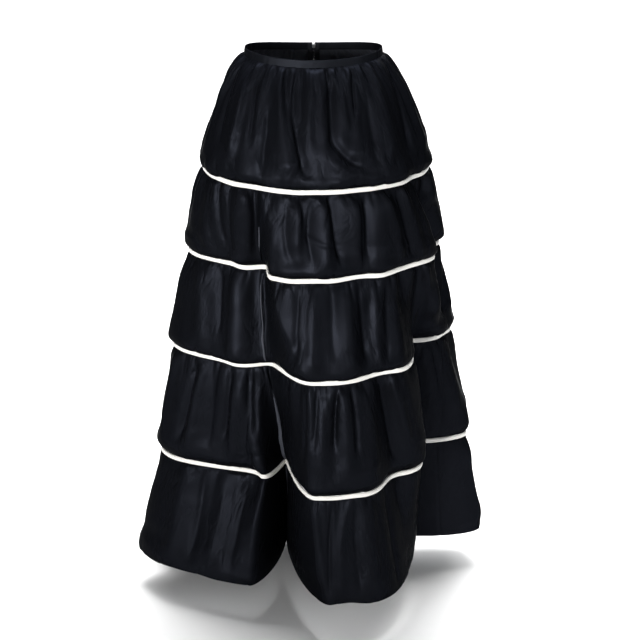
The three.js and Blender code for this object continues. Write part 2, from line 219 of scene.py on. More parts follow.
@dataclass(frozen=True)
class Form:
    """The skirt's form, level by level, as the CAD part has it."""

    rings: tuple[Ring, ...]
    folds: tuple[Fold, ...]
    FINE_STEPS: ClassVar[int] = 1601

    def ring(self, key: str, level: np.ndarray) -> np.ndarray:
        """A ring measure at a level."""
        return at_level(tuple(getattr(ring, key) for ring in self.rings), level)

    def section(self, level: np.ndarray, angle: np.ndarray) -> np.ndarray:
        """Points of the section, an ellipse with the folds drawn in.

        Args:
            level: levels, in an array that broadcasts with angle.
            angle: degrees from the centre front, positive towards +X.

        Returns:
            An array with X and Y in its last axis.
        """
        level, angle = np.broadcast_arrays(np.asarray(level, float), np.asarray(angle, float))
        turn = np.radians(angle)
        middle = self.ring("shift", level)
        x = middle + self.ring("half_width", level) * np.sin(turn)
        y = -self.ring("half_depth", level) * np.cos(turn)
        for fold in self.folds:
            off = wrapped(angle - at_level(fold.angle, level))
            reach = np.where(off < 0, at_level(fold.before, level), at_level(fold.after, level))
            draw = at_level(fold.depth, level) * bell(off / reach)
            goal_x, goal_y = fold.goal if fold.goal else (middle, 0.0)
            x = x + (goal_x - x) * draw
            y = y + (goal_y - y) * draw
        return np.stack([x, y], axis=-1)

    def normal(self, level: np.ndarray, angle: np.ndarray) -> np.ndarray:
        """The section's outward direction.

        Args:
            level: levels, in an array that broadcasts with angle.
            angle: degrees from the centre front.

        Returns:
            Unit vectors across the section, with X and Y in the last axis.
        """
        step = 0.4
        along = self.section(level, angle + step) - self.section(level, angle - step)
        normal = np.stack([along[..., 1], -along[..., 0]], axis=-1)
        return normal / np.linalg.norm(normal, axis=-1, keepdims=True)

    def height(self, level: np.ndarray, angle: np.ndarray) -> np.ndarray:
        """Height of a ring at an angle: level at the sides, lower in front and behind.

        Args:
            level: the ring, 0 for the waist and 5 for the hem.
            angle: degrees from the centre front.

        Returns:
            Heights in millimetres: the ring's, less its dip by the square of the cosine.
        """
        facing = np.cos(np.radians(angle))
        dip = np.where(facing > 0, self.ring("front_dip", level), self.ring("back_dip", level))
        return self.ring("height", level) - dip * facing**2

    def even_angles(self, level: float, start: float, end: float, share: np.ndarray) -> np.ndarray:
        """Angles at shares of the cloth's length between two angles.

        Args:
            level: the ring.
            start: degrees at share 0.
            end: degrees at share 1.
            share: shares of the length, from 0 to 1.

        Returns:
            Degrees, one for each share.
        """
        fine = np.linspace(start, end, self.FINE_STEPS)
        points = self.section(np.full_like(fine, level), fine)
        lengths = np.concatenate([[0.0], np.cumsum(np.linalg.norm(np.diff(points, axis=0), axis=-1))])
        return np.interp(share * lengths[-1], lengths, fine)


class Noise:
    """Smooth random values on a plane, repeating round the skirt."""

    SPREAD = 1.6

    def __init__(self, seed: int, cells_round: int, cells_down: int) -> None:
        """Draws the values.

        Args:
            seed: seed of the random draw.
            cells_round: how many cells round the skirt.
            cells_down: how many cells down the tier.
        """
        rng = np.random.default_rng(seed)
        self.values = rng.uniform(-1, 1, (cells_round, cells_down + 4))

    def at(self, around: np.ndarray, down: np.ndarray) -> np.ndarray:
        """Values at shares of the way round and down, each from 0 to 1.

        Args:
            around: shares of the way round, which repeat past 1.
            down: shares of the way down, from 0 to 1.

        Returns:
            Cubic B-spline sums of the drawn values, mostly from -1 to 1.
        """
        across, deep = self.values.shape
        x = (around % 1.0) * across
        y = np.clip(down, 0, 1) * (deep - 4) + 1
        x0 = np.floor(x).astype(int)
        y0 = np.minimum(np.floor(y).astype(int), deep - 3)
        total = np.zeros(np.broadcast(x, y).shape)
        for i in range(-1, 3):
            for j in range(-1, 3):
                weight = self._spline(x - x0 - i) * self._spline(y - y0 - j)
                total = total + weight * self.values[(x0 + i) % across, y0 + j]
        return total * self.SPREAD

    @staticmethod
    def _spline(distance: np.ndarray) -> np.ndarray:
        """Cubic B-spline weight.

        Args:
            distance: distance from the value, in cells.

        Returns:
            The weight, which is 0 from two cells away.
        """
        d = np.abs(distance)
        near = (4 - 6 * d**2 + 3 * d**3) / 6
        far = np.clip(2 - d, 0, None) ** 3 / 6
        return np.where(d < 1, near, far)


@dataclass(frozen=True)
class Crease:
    """A soft trough that runs down a tier, or a ridge where rise is above 0.

    angles and downs are its way down the tier: degrees from the centre front, and shares of the
    tier's height. width and rise are in millimetres.
    """

    angles: tuple[float, ...]
    downs: tuple[float, ...]
    width: float
    rise: float


CREASES: dict[str, tuple[Crease, ...]] = {
    "tier_1": (
        Crease((14.5, 10.5, 10.3, 16.5, 27), (0.02, 0.31, 0.56, 0.73, 0.87), 12, -10),
        Crease((7, 5, 5, 11, 22), (0.02, 0.4, 0.6, 0.79, 0.93), 11, 6.5),
        Crease((-13, -12.3, -8.8, -5.5, -1.5), (0.02, 0.34, 0.56, 0.76, 0.95), 11, -9),
        Crease((-26, -19.3, -17.3, -14), (0.05, 0.4, 0.6, 0.92), 10, 6),
        Crease((31.3, 26.8, 24.3), (0.01, 0.16, 0.42), 5, -7.5),
        Crease((-37.5, -40.8, -38.5, -36.8), (0.01, 0.19, 0.39, 0.68), 7, -6.5),
        Crease((-54.3, -50.5, -48.5, -48.3), (0.12, 0.29, 0.55, 0.82), 7, 5.5),
        Crease((69.5, 62.3, 58.5), (0.06, 0.41, 0.78), 11, -5.5),
        Crease((47.3, 43.3, 43.5), (0.05, 0.45, 0.84), 13, 5),
        Crease((-2.3, -3, -4), (0.02, 0.31, 0.7), 9, 4),
        Crease((23, 18.8, 19), (0.04, 0.33, 0.55), 7, 4.5),
        Crease((-69.3, -63.3, -58.8), (0.08, 0.36, 0.74), 11, -6),
        Crease((36, 33, 33), (0.2, 0.5, 0.9), 10, -4),
        Crease((-29, -27, -27), (0.3, 0.6, 0.95), 9, -4),
        Crease((-80, -74, -70), (0.1, 0.5, 0.9), 10, 4),
        Crease((80, 75, 72), (0.1, 0.5, 0.9), 9, 4),
    ),
    "tier_2": (
        Crease((-66, -65, -62), (0.03, 0.55, 0.95), 10, 4),
        Crease((-57, -54, -50), (0.03, 0.5, 0.8), 10, -4),
        Crease((-37, -38, -40), (0.0, 0.45, 0.9), 9, 5),
        Crease((-46, -47, -46), (0.0, 0.5, 0.85), 9, -4),
        Crease((-14, -13, -10), (0.0, 0.45, 0.8), 9, -5),
        Crease((-8, -8, -6), (0.0, 0.4, 0.9), 9, 4),
        Crease((-2, -2, 0), (0.0, 0.4, 0.85), 7, -5),
        Crease((4, 4, 4), (0.0, 0.4, 0.95), 10, 6),
        Crease((-3, 2, 11), (0.46, 0.57, 0.62), 7, -4),
        Crease((8, 10, 12), (0.0, 0.4, 0.85), 8, -5.5),
        Crease((17, 18, 20), (0.0, 0.5, 0.95), 9, 5),
        Crease((25, 26, 27), (0.0, 0.5, 0.9), 9, -5),
        Crease((34, 38, 40), (0.0, 0.4, 0.9), 9, 5),
        Crease((43, 45, 49), (0.0, 0.4, 0.9), 9, -5),
        Crease((47, 51, 56), (0.0, 0.36, 0.95), 9, 4),
        Crease((62, 66, 70), (0.0, 0.4, 0.9), 10, -4),
    ),
    "tier_3": (
        Crease((-68, -65, -62), (0.0, 0.45, 0.9), 13, 4),
        Crease((-60, -55, -52), (0.0, 0.35, 0.75), 9, -4.5),
        Crease((-45, -42, -41), (0.0, 0.45, 1), 13, 5),
        Crease((0, 0, 0), (0.0, 0.45, 0.95), 10, 5),
        Crease((-7, -7, -6), (0.0, 0.45, 0.9), 9, -4),
        Crease((7, 7, 8), (0.0, 0.4, 0.8), 9, -3.5),
        Crease((15, 14, 15), (0.0, 0.45, 1), 10, 4.5),
        Crease((21, 21, 22), (0.0, 0.5, 0.9), 9, -4.5),
        Crease((28, 29, 28), (0.0, 0.45, 0.95), 9, 4),
        Crease((34, 33, 33), (0.0, 0.5, 0.9), 8, -4),
        Crease((39, 38, 38), (0.0, 0.45, 0.95), 9, 4),
        Crease((62, 68, 76), (0.0, 0.4, 0.75), 10, 4),
        Crease((72, 77, 83), (0.05, 0.45, 0.8), 9, -4),
    ),
    "tier_4": (
        Crease((-76, -77, -78), (0.0, 0.4, 0.9), 10, 4.5),
        Crease((-63.3, -65.8, -69), (0.0, 0.41, 0.84), 9, -6.5),
        Crease((-59, -62, -64), (0.0, 0.4, 0.9), 10, 5),
        Crease((-53, -55, -57), (0.0, 0.4, 0.85), 13, -4),
        Crease((-44, -46.3, -49.8), (0.0, 0.34, 0.75), 9, -6),
        Crease((-38.8, -41.8, -45), (0.0, 0.44, 0.95), 12, 6.5),
        Crease((-34.8, -35.5, -35.5), (0.0, 0.25, 0.7), 8, -7.5),
        Crease((-31.5, -32.5, -31.8), (0.0, 0.3, 0.68), 6, -6.5),
        Crease((-25.5, -23, -21), (0.0, 0.46, 0.95), 13, 6),
        Crease((-24, -31, -41), (0.77, 0.81, 0.9), 7, -5),
        Crease((-2.5, -2, -2.5), (0.0, 0.35, 0.75), 9, -3),
        Crease((1, 0.8, -0.3), (0.0, 0.25, 0.6), 7, -5),
        Crease((5.5, 3.5, 2.5), (0.0, 0.35, 0.85), 11, 6),
        Crease((9.5, 7.8, 7), (0.0, 0.25, 0.6), 6, -7),
        Crease((11.8, 11.8, 11), (0.0, 0.35, 0.9), 11, 5.5),
        Crease((14.5, 15, 15), (0.0, 0.3, 0.66), 6, -7),
        Crease((19.3, 21, 19.5), (0.0, 0.42, 0.9), 14, 7),
        Crease((28.3, 32.5, 36.8), (0.0, 0.35, 0.85), 15, -9),
        Crease((34.5, 39.5, 43.3), (0.0, 0.38, 0.7), 7, 5),
        Crease((78, 84, 88), (0.0, 0.4, 0.9), 10, 5),
        Crease((84, 88, 90), (0.0, 0.4, 0.8), 9, -5),
    ),
    "tier_5": (
        Crease((-66, -64, -62), (0.0, 0.5, 0.95), 14, 4),
        Crease((-58, -55, -53), (0.0, 0.5, 0.9), 12, -4),
        Crease((-51, -47, -44), (0.0, 0.4, 0.9), 11, 4),
        Crease((-38, -36, -35), (0.0, 0.5, 1), 12, -4),
        Crease((-25, -23, -21), (0.0, 0.4, 0.95), 12, 4),
        Crease((0, 1, 2), (0.0, 0.4, 0.9), 12, 4),
        Crease((6, 5, 5), (0.0, 0.5, 0.95), 9, -4.5),
        Crease((12, 9, 9), (0.0, 0.45, 0.95), 10, 4),
        Crease((20, 19, 20), (0.0, 0.4, 0.9), 12, 4.5),
        Crease((15, 14, 15), (0.0, 0.4, 0.9), 9, -4.5),
        Crease((30, 30, 31), (0.0, 0.5, 1), 11, -4),
    ),
}


def curve_through(x: np.ndarray, knots: tuple[float, ...], values: tuple[float, ...]) -> np.ndarray:
    """A smooth curve through values at knots, in cubic pieces that don't overshoot.

    Args:
        x: where the curve is read, between the first knot and the last.
        knots: rising places.
        values: the value at each knot.

    Returns:
        The curve at x.
    """
    knots_, values_ = np.asarray(knots, float), np.asarray(values, float)
    run = np.diff(knots_)
    slope = np.diff(values_) / run
    tangent = np.zeros(len(values_))
    same = slope[:-1] * slope[1:] > 0
    tangent[1:-1][same] = 2 * slope[:-1][same] * slope[1:][same] / (slope[:-1] + slope[1:])[same]
    tangent[0], tangent[-1] = slope[0], slope[-1]
    i = np.clip(np.searchsorted(knots_, x, side="right") - 1, 0, len(run) - 1)
    t = (x - knots_[i]) / run[i]
    return (
        (1 + 2 * t) * (1 - t) ** 2 * values_[i] + t * (1 - t) ** 2 * run[i] * tangent[i]
        + t**2 * (3 - 2 * t) * values_[i + 1] + t**2 * (t - 1) * run[i] * tangent[i + 1]
    )


@dataclass
class SeamWave:
    """How the seams and the hem waver, as a seam in gathered cloth does. Sizes are in millimetres."""

    sizes: tuple[float, ...] = (0.0, 1.0, 1.3, 1.4, 1.5, 3.0)

    def __post_init__(self) -> None:
        """Draws the noise of each ring, with more cells on the longer ones."""
        self.noises = [Noise(900 + level, 34 + 5 * level, 1) for level in range(len(self.sizes))]

    def at(self, level: int, angle: np.ndarray) -> np.ndarray:
        """Rise or fall of a ring at angles, in millimetres."""
        return self.sizes[level] * self.noises[level].at(np.asarray(angle) / 360.0, np.float64(0.5))


@dataclass
class TierCloth:
    """One tier's cloth: a grid of points right round the skirt, starting at the wearer's right.

    Each point lies on the form, at a share of the way round and down, and is moved along the form's
    normal by the sum of the puff, the folds and the creases.
    """

    form: Form
    wave: SeamWave
    index: int
    puff_knots: tuple[float, ...] = (0, 0.07, 0.25, 0.55, 0.8, 0.9, 0.955, 1)
    puff_shares: tuple[float, ...] = (0, 0.22, 0.5, 0.78, 0.96, 0.97, 0.72, 0.1)
    gather_knots: tuple[float, ...] = (0, 0.05, 0.18, 0.45, 0.8, 0.94, 1)
    gather_shares: tuple[float, ...] = (0.3, 1.0, 0.9, 0.45, 0.22, 0.2, 0.14)
    # How strongly folds lean, how far under the seam they begin and how far seams keep them upright.
    lean: float = 0.75
    fold_start: float = 5.0
    seam_reach: float = 12.0
    # The first angle of the hidden creases, past their last one, and their step.
    hidden_angles: tuple[float, float, float] = (96, 262, 9.5)
    # How deep a seam that runs down is drawn in, and how wide.
    seam_depth: float = 0.8
    seam_width: float = 1.8
    # How much of the cloth the waistband and the piping cover.
    under_band: float = 1.6
    under_piping: float = PIPING_HEIGHT / 2 - 1.0

    def __post_init__(self) -> None:
        """Works out the grid."""
        index = self.index
        self.tier = TIERS[index]
        self.down = self._rows()
        self.share = np.linspace(0, 1, self.tier.columns + 1)
        self.level = index + self.down**self.tier.flare
        self.angle = np.tile((self._angles(index) + self._angles(index + 1)) / 2, (len(self.down), 1))
        plan = self.form.section(self.level[:, None], self.angle)
        self.normal = self.form.normal(self.level[:, None], self.angle)
        turn = np.radians(self.angle)
        outward = np.stack([np.sin(turn), -np.cos(turn)], axis=-1)
        self.facing = np.clip((self.normal * outward).sum(-1), 0, 1)
        top, bottom = self._edges()
        self.height = float(np.mean(top - bottom))
        self.round = float(np.linalg.norm(np.diff(plan, axis=1), axis=-1).sum(axis=1).mean())
        folds = (self._gathers() + self._puckers() + self._broad() + self._tucks() + self._crumples()
                 + self._pleats(Seam.TOP, 2.2, (12, 50), (2.6, 6.0))
                 + self._pleats(Seam.FOOT, 1.3, (10, 32), (1.6, 3.4)))
        # Inside the form's deep folds there is no room for small ones.
        folds = folds * self.facing + self._creases() * np.clip(1.7 * self.facing - 0.25, 0, 1)
        folds = folds * (smooth(self.down * self.height / self.fold_start))[:, None]
        out = self._puff() * self.facing + folds + self._seams()
        if index == 0:
            # The top edge is caught between the waistband's two layers.
            out = out - 0.5 * self._near_top(3)
        # Folds lean over to one side, as gathered cloth does, so one flank is steeper.
        lean = self.lean * self._noise(12, 0.35, 1) * folds * smooth(self.down / 0.1)[:, None]
        tangent = np.stack([-self.normal[..., 1], self.normal[..., 0]], axis=-1)
        plan = plan + self.normal * out[..., None] + tangent * (lean * self._off_seams())[..., None]
        z = top + (bottom - top) * self.down[:, None]
        self.points = np.concatenate([plan, z[..., None]], axis=-1) * MM
        self.uv = np.stack(np.broadcast_arrays(
            self.share[None, :] * self.round * MM, -self.down[:, None] * self.height * MM), axis=-1)

    def _rows(self) -> np.ndarray:
        """Shares of the way down, closer together at the seams."""
        even = np.linspace(0, 1, self.tier.rows + 1)
        return even - 0.09 * np.sin(2 * np.pi * even) / np.pi

    def _angles(self, level: float) -> np.ndarray:
        """Angles at even steps of the cloth at a level, with the side seams at -90 and 90 degrees.

        Args:
            level: the ring.

        Returns:
            Degrees, one for each column of the grid.
        """
        half = self.tier.columns // 2
        even = np.linspace(0, 1, half + 1)
        front = self.form.even_angles(level, -90, 90, even)
        back = self.form.even_angles(level, 90, 270, even)
        return np.concatenate([front, back[1:]])

    def _edges(self) -> tuple[np.ndarray, np.ndarray]:
        """Heights of the top and bottom edges, for each grid point.

        Returns:
            Two arrays of heights in millimetres, of the top edge and of the bottom one.
        """
        first, last = self.index == 0, self.index == len(TIERS) - 1
        top, bottom = (self.form.height(level, self.angle) + self.wave.at(level, self.angle)
                       for level in (self.index, self.index + 1))
        top = top + (self.under_band if first else -self.under_piping)
        return top, bottom + (0.0 if last else self.under_piping)

    def _noise(self, seed: int, per_gather: float, rows: int, lean: float = 0.0) -> np.ndarray:
        """Noise with so many cells for each gather round the skirt.

        Args:
            seed: seed within the tier.
            per_gather: cells for each gather.
            rows: cells down the tier.
            lean: how far the pattern shifts round on its way down, as a share.

        Returns:
            The noise at each grid point.
        """
        cells = max(round(self.tier.gathers * per_gather), 4)
        noise = Noise(100 * (self.index + 1) + seed, cells, rows)
        return noise.at(self.share[None, :] + lean * self.down[:, None], self.down[:, None])

    def _near_top(self, reach: float) -> np.ndarray:
        """1 just under the top seam, fading out over a reach in millimetres."""
        return np.exp(-self.down * self.height / reach)[:, None]

    def _near_foot(self, reach: float) -> np.ndarray:
        """1 just over the bottom seam, fading out over a reach in millimetres."""
        return np.exp(-(1 - self.down) * self.height / reach)[:, None]

    def _beside_zip(self) -> np.ndarray | float:
        """0 over the zip, where the cloth isn't gathered, and 1 away from it.

        Returns:
            The share for each grid point, or 1 where the tier has no zip.
        """
        if not self.tier.back_split:
            return 1.0
        near, far = ZIP_FLAT
        return smooth((np.abs(wrapped(self.angle - 180)) - near) / (far - near))

    def _puff(self) -> np.ndarray:
        """How far the tier stands out over its lower seam."""
        shares = curve_through(self.down, self.puff_knots, self.puff_shares)[:, None]
        return self.tier.puff * shares * (1 + 0.22 * self._noise(1, 0.6, 1))

    def _gathers(self) -> np.ndarray:
        """The small folds that the top seam draws in, rounded on top and sharper between.

        Returns:
            How far the cloth stands out, a power of a wavering cosine round the skirt.
        """
        gathers = self.tier.gathers
        wobble = 1.5 * self._noise(2, 0.8, 2) + 0.8 * self._noise(3, 1.6, 3)
        phase = 2 * np.pi * gathers * self.share[None, :] - np.pi * gathers / 2 + wobble
        sharpness = 1.35 + 0.65 * smooth(self.down / 0.5)[:, None]
        fold = 2 * np.abs(np.cos(phase / 2)) ** sharpness - 1.05
        place = gathers * self.share - gathers / 4 + gathers
        own = 1 + 0.35 * np.sin(2.4 * place + 1.7 * self.index) + 0.2 * np.sin(5.1 * place + self.index)
        own = own[None, :] * (1 + 0.6 * self._noise(4, 0.9, 3))
        along = curve_through(self.down, self.gather_knots, self.gather_shares)[:, None]
        return 0.55 * self.tier.ripple * fold * own * along * self._beside_zip()

    def _puckers(self) -> np.ndarray:
        """Fine puckers at both seams.

        Returns:
            How far the cloth stands out, ridged noise that fades out away from each seam.
        """
        tight = np.sqrt(np.abs(self._noise(5, 2.2, 2)) + 0.01) - 0.5
        tighter = np.sqrt(np.abs(self._noise(6, 3.6, 3)) + 0.01) - 0.5
        reach = 38 * (1 + 0.9 * self._noise(20, 1.4, 1))
        sunk = np.exp(-self.down[:, None] * self.height / np.clip(reach, 8, 70))
        top = 8.0 * tight * sunk + 5.5 * tighter * self._near_top(22)
        foot = 2.0 * self._noise(7, 2.6, 6) * self._near_foot(18)
        foot = foot + 0.9 * self._noise(13, 5.0, 9) * self._near_foot(9)
        return (top + foot) * self._beside_zip()

    def _pleats(self, seam: Seam, per_gather: float, reach: tuple[float, float],
                depth: tuple[float, float]) -> np.ndarray:
        """Short crisp pleats that the stitching draws in, at uneven places along a seam.

        Each is a V in section, as exp(-|distance| / width), and fades out away from the seam.

        Args:
            seam: the seam that they stand at.
            per_gather: how many for each gather.
            reach: shortest and longest, in millimetres.
            depth: shallowest and deepest, in millimetres.

        Returns:
            How far the cloth is drawn in, for each grid point, below 0.
        """
        rng = np.random.default_rng(500 + 10 * self.index + seam.value)
        count = round(self.tier.gathers * per_gather)
        at = (np.arange(count) + rng.uniform(-0.42, 0.42, count)) / count
        long = rng.uniform(*reach, count) * rng.uniform(0.4, 1, count)
        deep = rng.uniform(*depth, count)
        wide = rng.uniform(2.4, 4.8, count)
        drift = rng.uniform(-0.16, 0.16, count)
        away = np.abs(self.down - seam.value) * self.height
        total = np.zeros(self.angle.shape)
        for i in range(count):
            off = (self.share[None, :] - at[i] + 0.5) % 1.0 - 0.5
            off = off * self.round - drift[i] * away[:, None]
            total -= deep[i] * np.exp(-np.hypot(off, 0.5) / wide[i]) * np.exp(-(away / long[i]) ** 2)[:, None]
        return total * self._beside_zip()

    def _broad(self) -> np.ndarray:
        """Broad soft folds that lean a little.

        Returns:
            How far the cloth stands out, noise that grows down the tier.
        """
        grow = smooth(self.down / 0.35)[:, None]
        broad = 5.0 * self._noise(8, 0.42, 1, 0.012) + 2.4 * self._noise(9, 0.95, 3, -0.015)
        return broad * grow

    def _crumples(self) -> np.ndarray:
        """Crumples where the cloth bags over the lower seam.

        Returns:
            How far the cloth stands out, ridged noise in the lower half and a fine unevenness all over.
        """
        ridged = np.abs(self._noise(10, 1.1, 5, 0.03)) + 0.6 * np.abs(self._noise(11, 2.1, 8, -0.03))
        low = (0.5 - ridged) * 3.2 * smooth((self.down - 0.4) / 0.4)[:, None]
        dents = (0.35 - np.abs(self._noise(16, 0.75, 8, 0.05))) * 4.6
        dents = dents * np.clip(self._noise(17, 0.6, 4) + 0.25, 0, 1)
        dents = dents * smooth((self.down - 0.5) / 0.25)[:, None]
        patches = 0.5 + 0.5 * np.clip(self._noise(15, 0.7, 3) + 0.4, 0, 1)
        fine = 0.65 * self._noise(14, 3.2, 14, 0.02) * patches
        return low + dents + fine

    def _tucks(self) -> np.ndarray:
        """Crisp creases between flatter stretches, which come and go down the tier.

        Returns:
            How far the cloth stands out, sharp along the lines where a noise crosses 0.
        """
        line = np.sqrt(self._noise(18, 1.25, 2, 0.01) ** 2 + 0.004)
        place = np.clip(1.4 * self._noise(19, 0.8, 2) + 0.5, 0, 1)
        return 7.5 * (line - 0.3) * place * smooth(self.down / 0.12)[:, None]

    def _hidden_creases(self) -> tuple[Crease, ...]:
        """Creases like the placed ones for the back, which no picture shows.

        Returns:
            The drawn creases.
        """
        rng = np.random.default_rng(70 + self.index)
        made = []
        for start in np.arange(*self.hidden_angles):
            angle = start + rng.uniform(-3, 3)
            lean = rng.uniform(-4, 4)
            foot = rng.uniform(0.7, 1)
            rise = rng.choice((-1, 1)) * rng.uniform(3, 5.5)
            if self.tier.back_split and abs(angle - 180) < ZIP_FLAT[1]:
                continue
            made.append(Crease((angle, angle + lean / 2, angle + lean), (rng.uniform(0, 0.08), 0.45, foot),
                               rng.uniform(8, 13), rise))
        return tuple(made)

    def _creases(self) -> np.ndarray:
        """The listed creases, and their like on the hidden sides.

        Returns:
            How far the cloth stands out: across its way each crease is a difference of two bells.
        """
        total = np.zeros(self.angle.shape)
        middle = self.angle[len(self.down) // 2]
        for crease in CREASES[self.tier.name] + self._hidden_creases():
            way = np.interp(curve_through(np.clip(self.down, crease.downs[0], crease.downs[-1]),
                                          crease.downs, crease.angles), middle, self.share)
            slope = np.gradient(way, self.down) * self.round / self.height
            off = (self.share[None, :] - way[:, None]) * self.round
            off = off * (1 / np.sqrt(1 + slope**2))[:, None] / (CREASE_SPREAD * crease.width)
            start, end = crease.downs[0], crease.downs[-1]
            fade = 0.1 + 0.12 * (end - start)
            along = smooth((self.down - start) / fade + 0.15) * smooth((end - self.down) / fade + 0.15)
            if crease.rise > 0:
                shape = 1.35 * np.exp(-off**2) - 0.35 * np.exp(-(off / 1.9) ** 2)
            else:
                shape = 1.25 * np.exp(1 - np.sqrt(1 + 7 * off**2)) - 0.25 * np.exp(-(off / 2.2) ** 2)
            total += crease.rise * along[:, None] * shape
        return total

    def _from_seam(self) -> np.ndarray:
        """How far each column is from the nearest seam that runs down, in millimetres."""
        seams = (0, 0.5, BACK_SHARE, 1) if self.tier.back_split else (0, 0.5, 1)
        return np.min([np.abs(self.share - seam) for seam in seams], axis=0)[None, :] * self.round

    def _off_seams(self) -> np.ndarray:
        """0 on a seam and 1 away from it."""
        return smooth(self._from_seam() / self.seam_reach)

    def _seams(self) -> np.ndarray:
        """The side seams, drawn in a little."""
        drawn = np.exp(-(self._from_seam() / self.seam_width) ** 2)
        return -self.seam_depth * drawn * smooth(self.down / 0.1)[:, None]


def sharpen_borders(panel: bpy.types.Object, rows: int, columns: int) -> None:
    """Marks the edges round a grid as sharp, so that its rim doesn't darken the cloth beside it.

    Args:
        panel: the grid's object.
        rows: rows of points in the grid.
        columns: columns of points in the grid.
    """
    mesh = panel.data
    ends = np.zeros(len(mesh.edges) * 2, dtype=np.int32)
    mesh.edges.foreach_get("vertices", ends)
    row, column = np.divmod(ends.reshape(-1, 2), columns)
    sharp = np.zeros(len(mesh.edges), dtype=bool)
    for place, last in ((row, rows - 1), (column, columns - 1)):
        sharp |= (place == 0).all(axis=1) | (place == last).all(axis=1)
    mesh.attributes.new("sharp_edge", "BOOLEAN", "EDGE").data.foreach_set("value", sharp)


def grid_faces(rows: int, columns: int, closed: bool = False) -> np.ndarray:
    """Faces of a grid of points, facing out where rows run down and columns to the right.

    Args:
        rows: rows of points.
        columns: columns of points.
        closed: whether the last column joins the first.

    Returns:
        Four point numbers for each face.
    """
    r = np.arange(rows - 1)[:, None]
    c = np.arange(columns if closed else columns - 1)[None, :]
    after = (c + 1) % columns
    corners = [r * columns + c, (r + 1) * columns + c, (r + 1) * columns + after, r * columns + after]
    return np.stack(np.broadcast_arrays(*corners), axis=-1).reshape(-1, 4)


class Piece:
    """Makes one mesh object."""

    UV = "cut_cloth"

    @staticmethod
    def of(name: str, points: np.ndarray, faces: list | np.ndarray, look: bpy.types.Material,
           uv: np.ndarray | None = None, soft: bool = True) -> bpy.types.Object:
        """Makes an object from points in metres, faces and an optional UV for each point.

        Args:
            name: name of the object.
            points: points in metres, X, Y and Z in the last axis.
            faces: point numbers of each face.
            look: its material.
            uv: a UV for each point, or None.
            soft: whether its faces are shaded smooth.

        Returns:
            The linked object.
        """
        mesh = bpy.data.meshes.new(name)
        mesh.from_pydata(points.reshape(-1, 3).tolist(), [], np.asarray(faces).tolist()
                         if isinstance(faces, np.ndarray) else faces)
        if uv is not None:
            layer = mesh.uv_layers.new(name=Piece.UV)
            corners = np.zeros(len(mesh.loops), dtype=np.int32)
            mesh.loops.foreach_get("vertex_index", corners)
            layer.data.foreach_set("uv", uv.reshape(-1, 2)[corners].ravel())
        mesh.polygons.foreach_set("use_smooth", [soft] * len(mesh.polygons))
        mesh.materials.append(look)
        mesh.update()
        made = bpy.data.objects.new(name, mesh)
        bpy.context.scene.collection.objects.link(made)
        return made


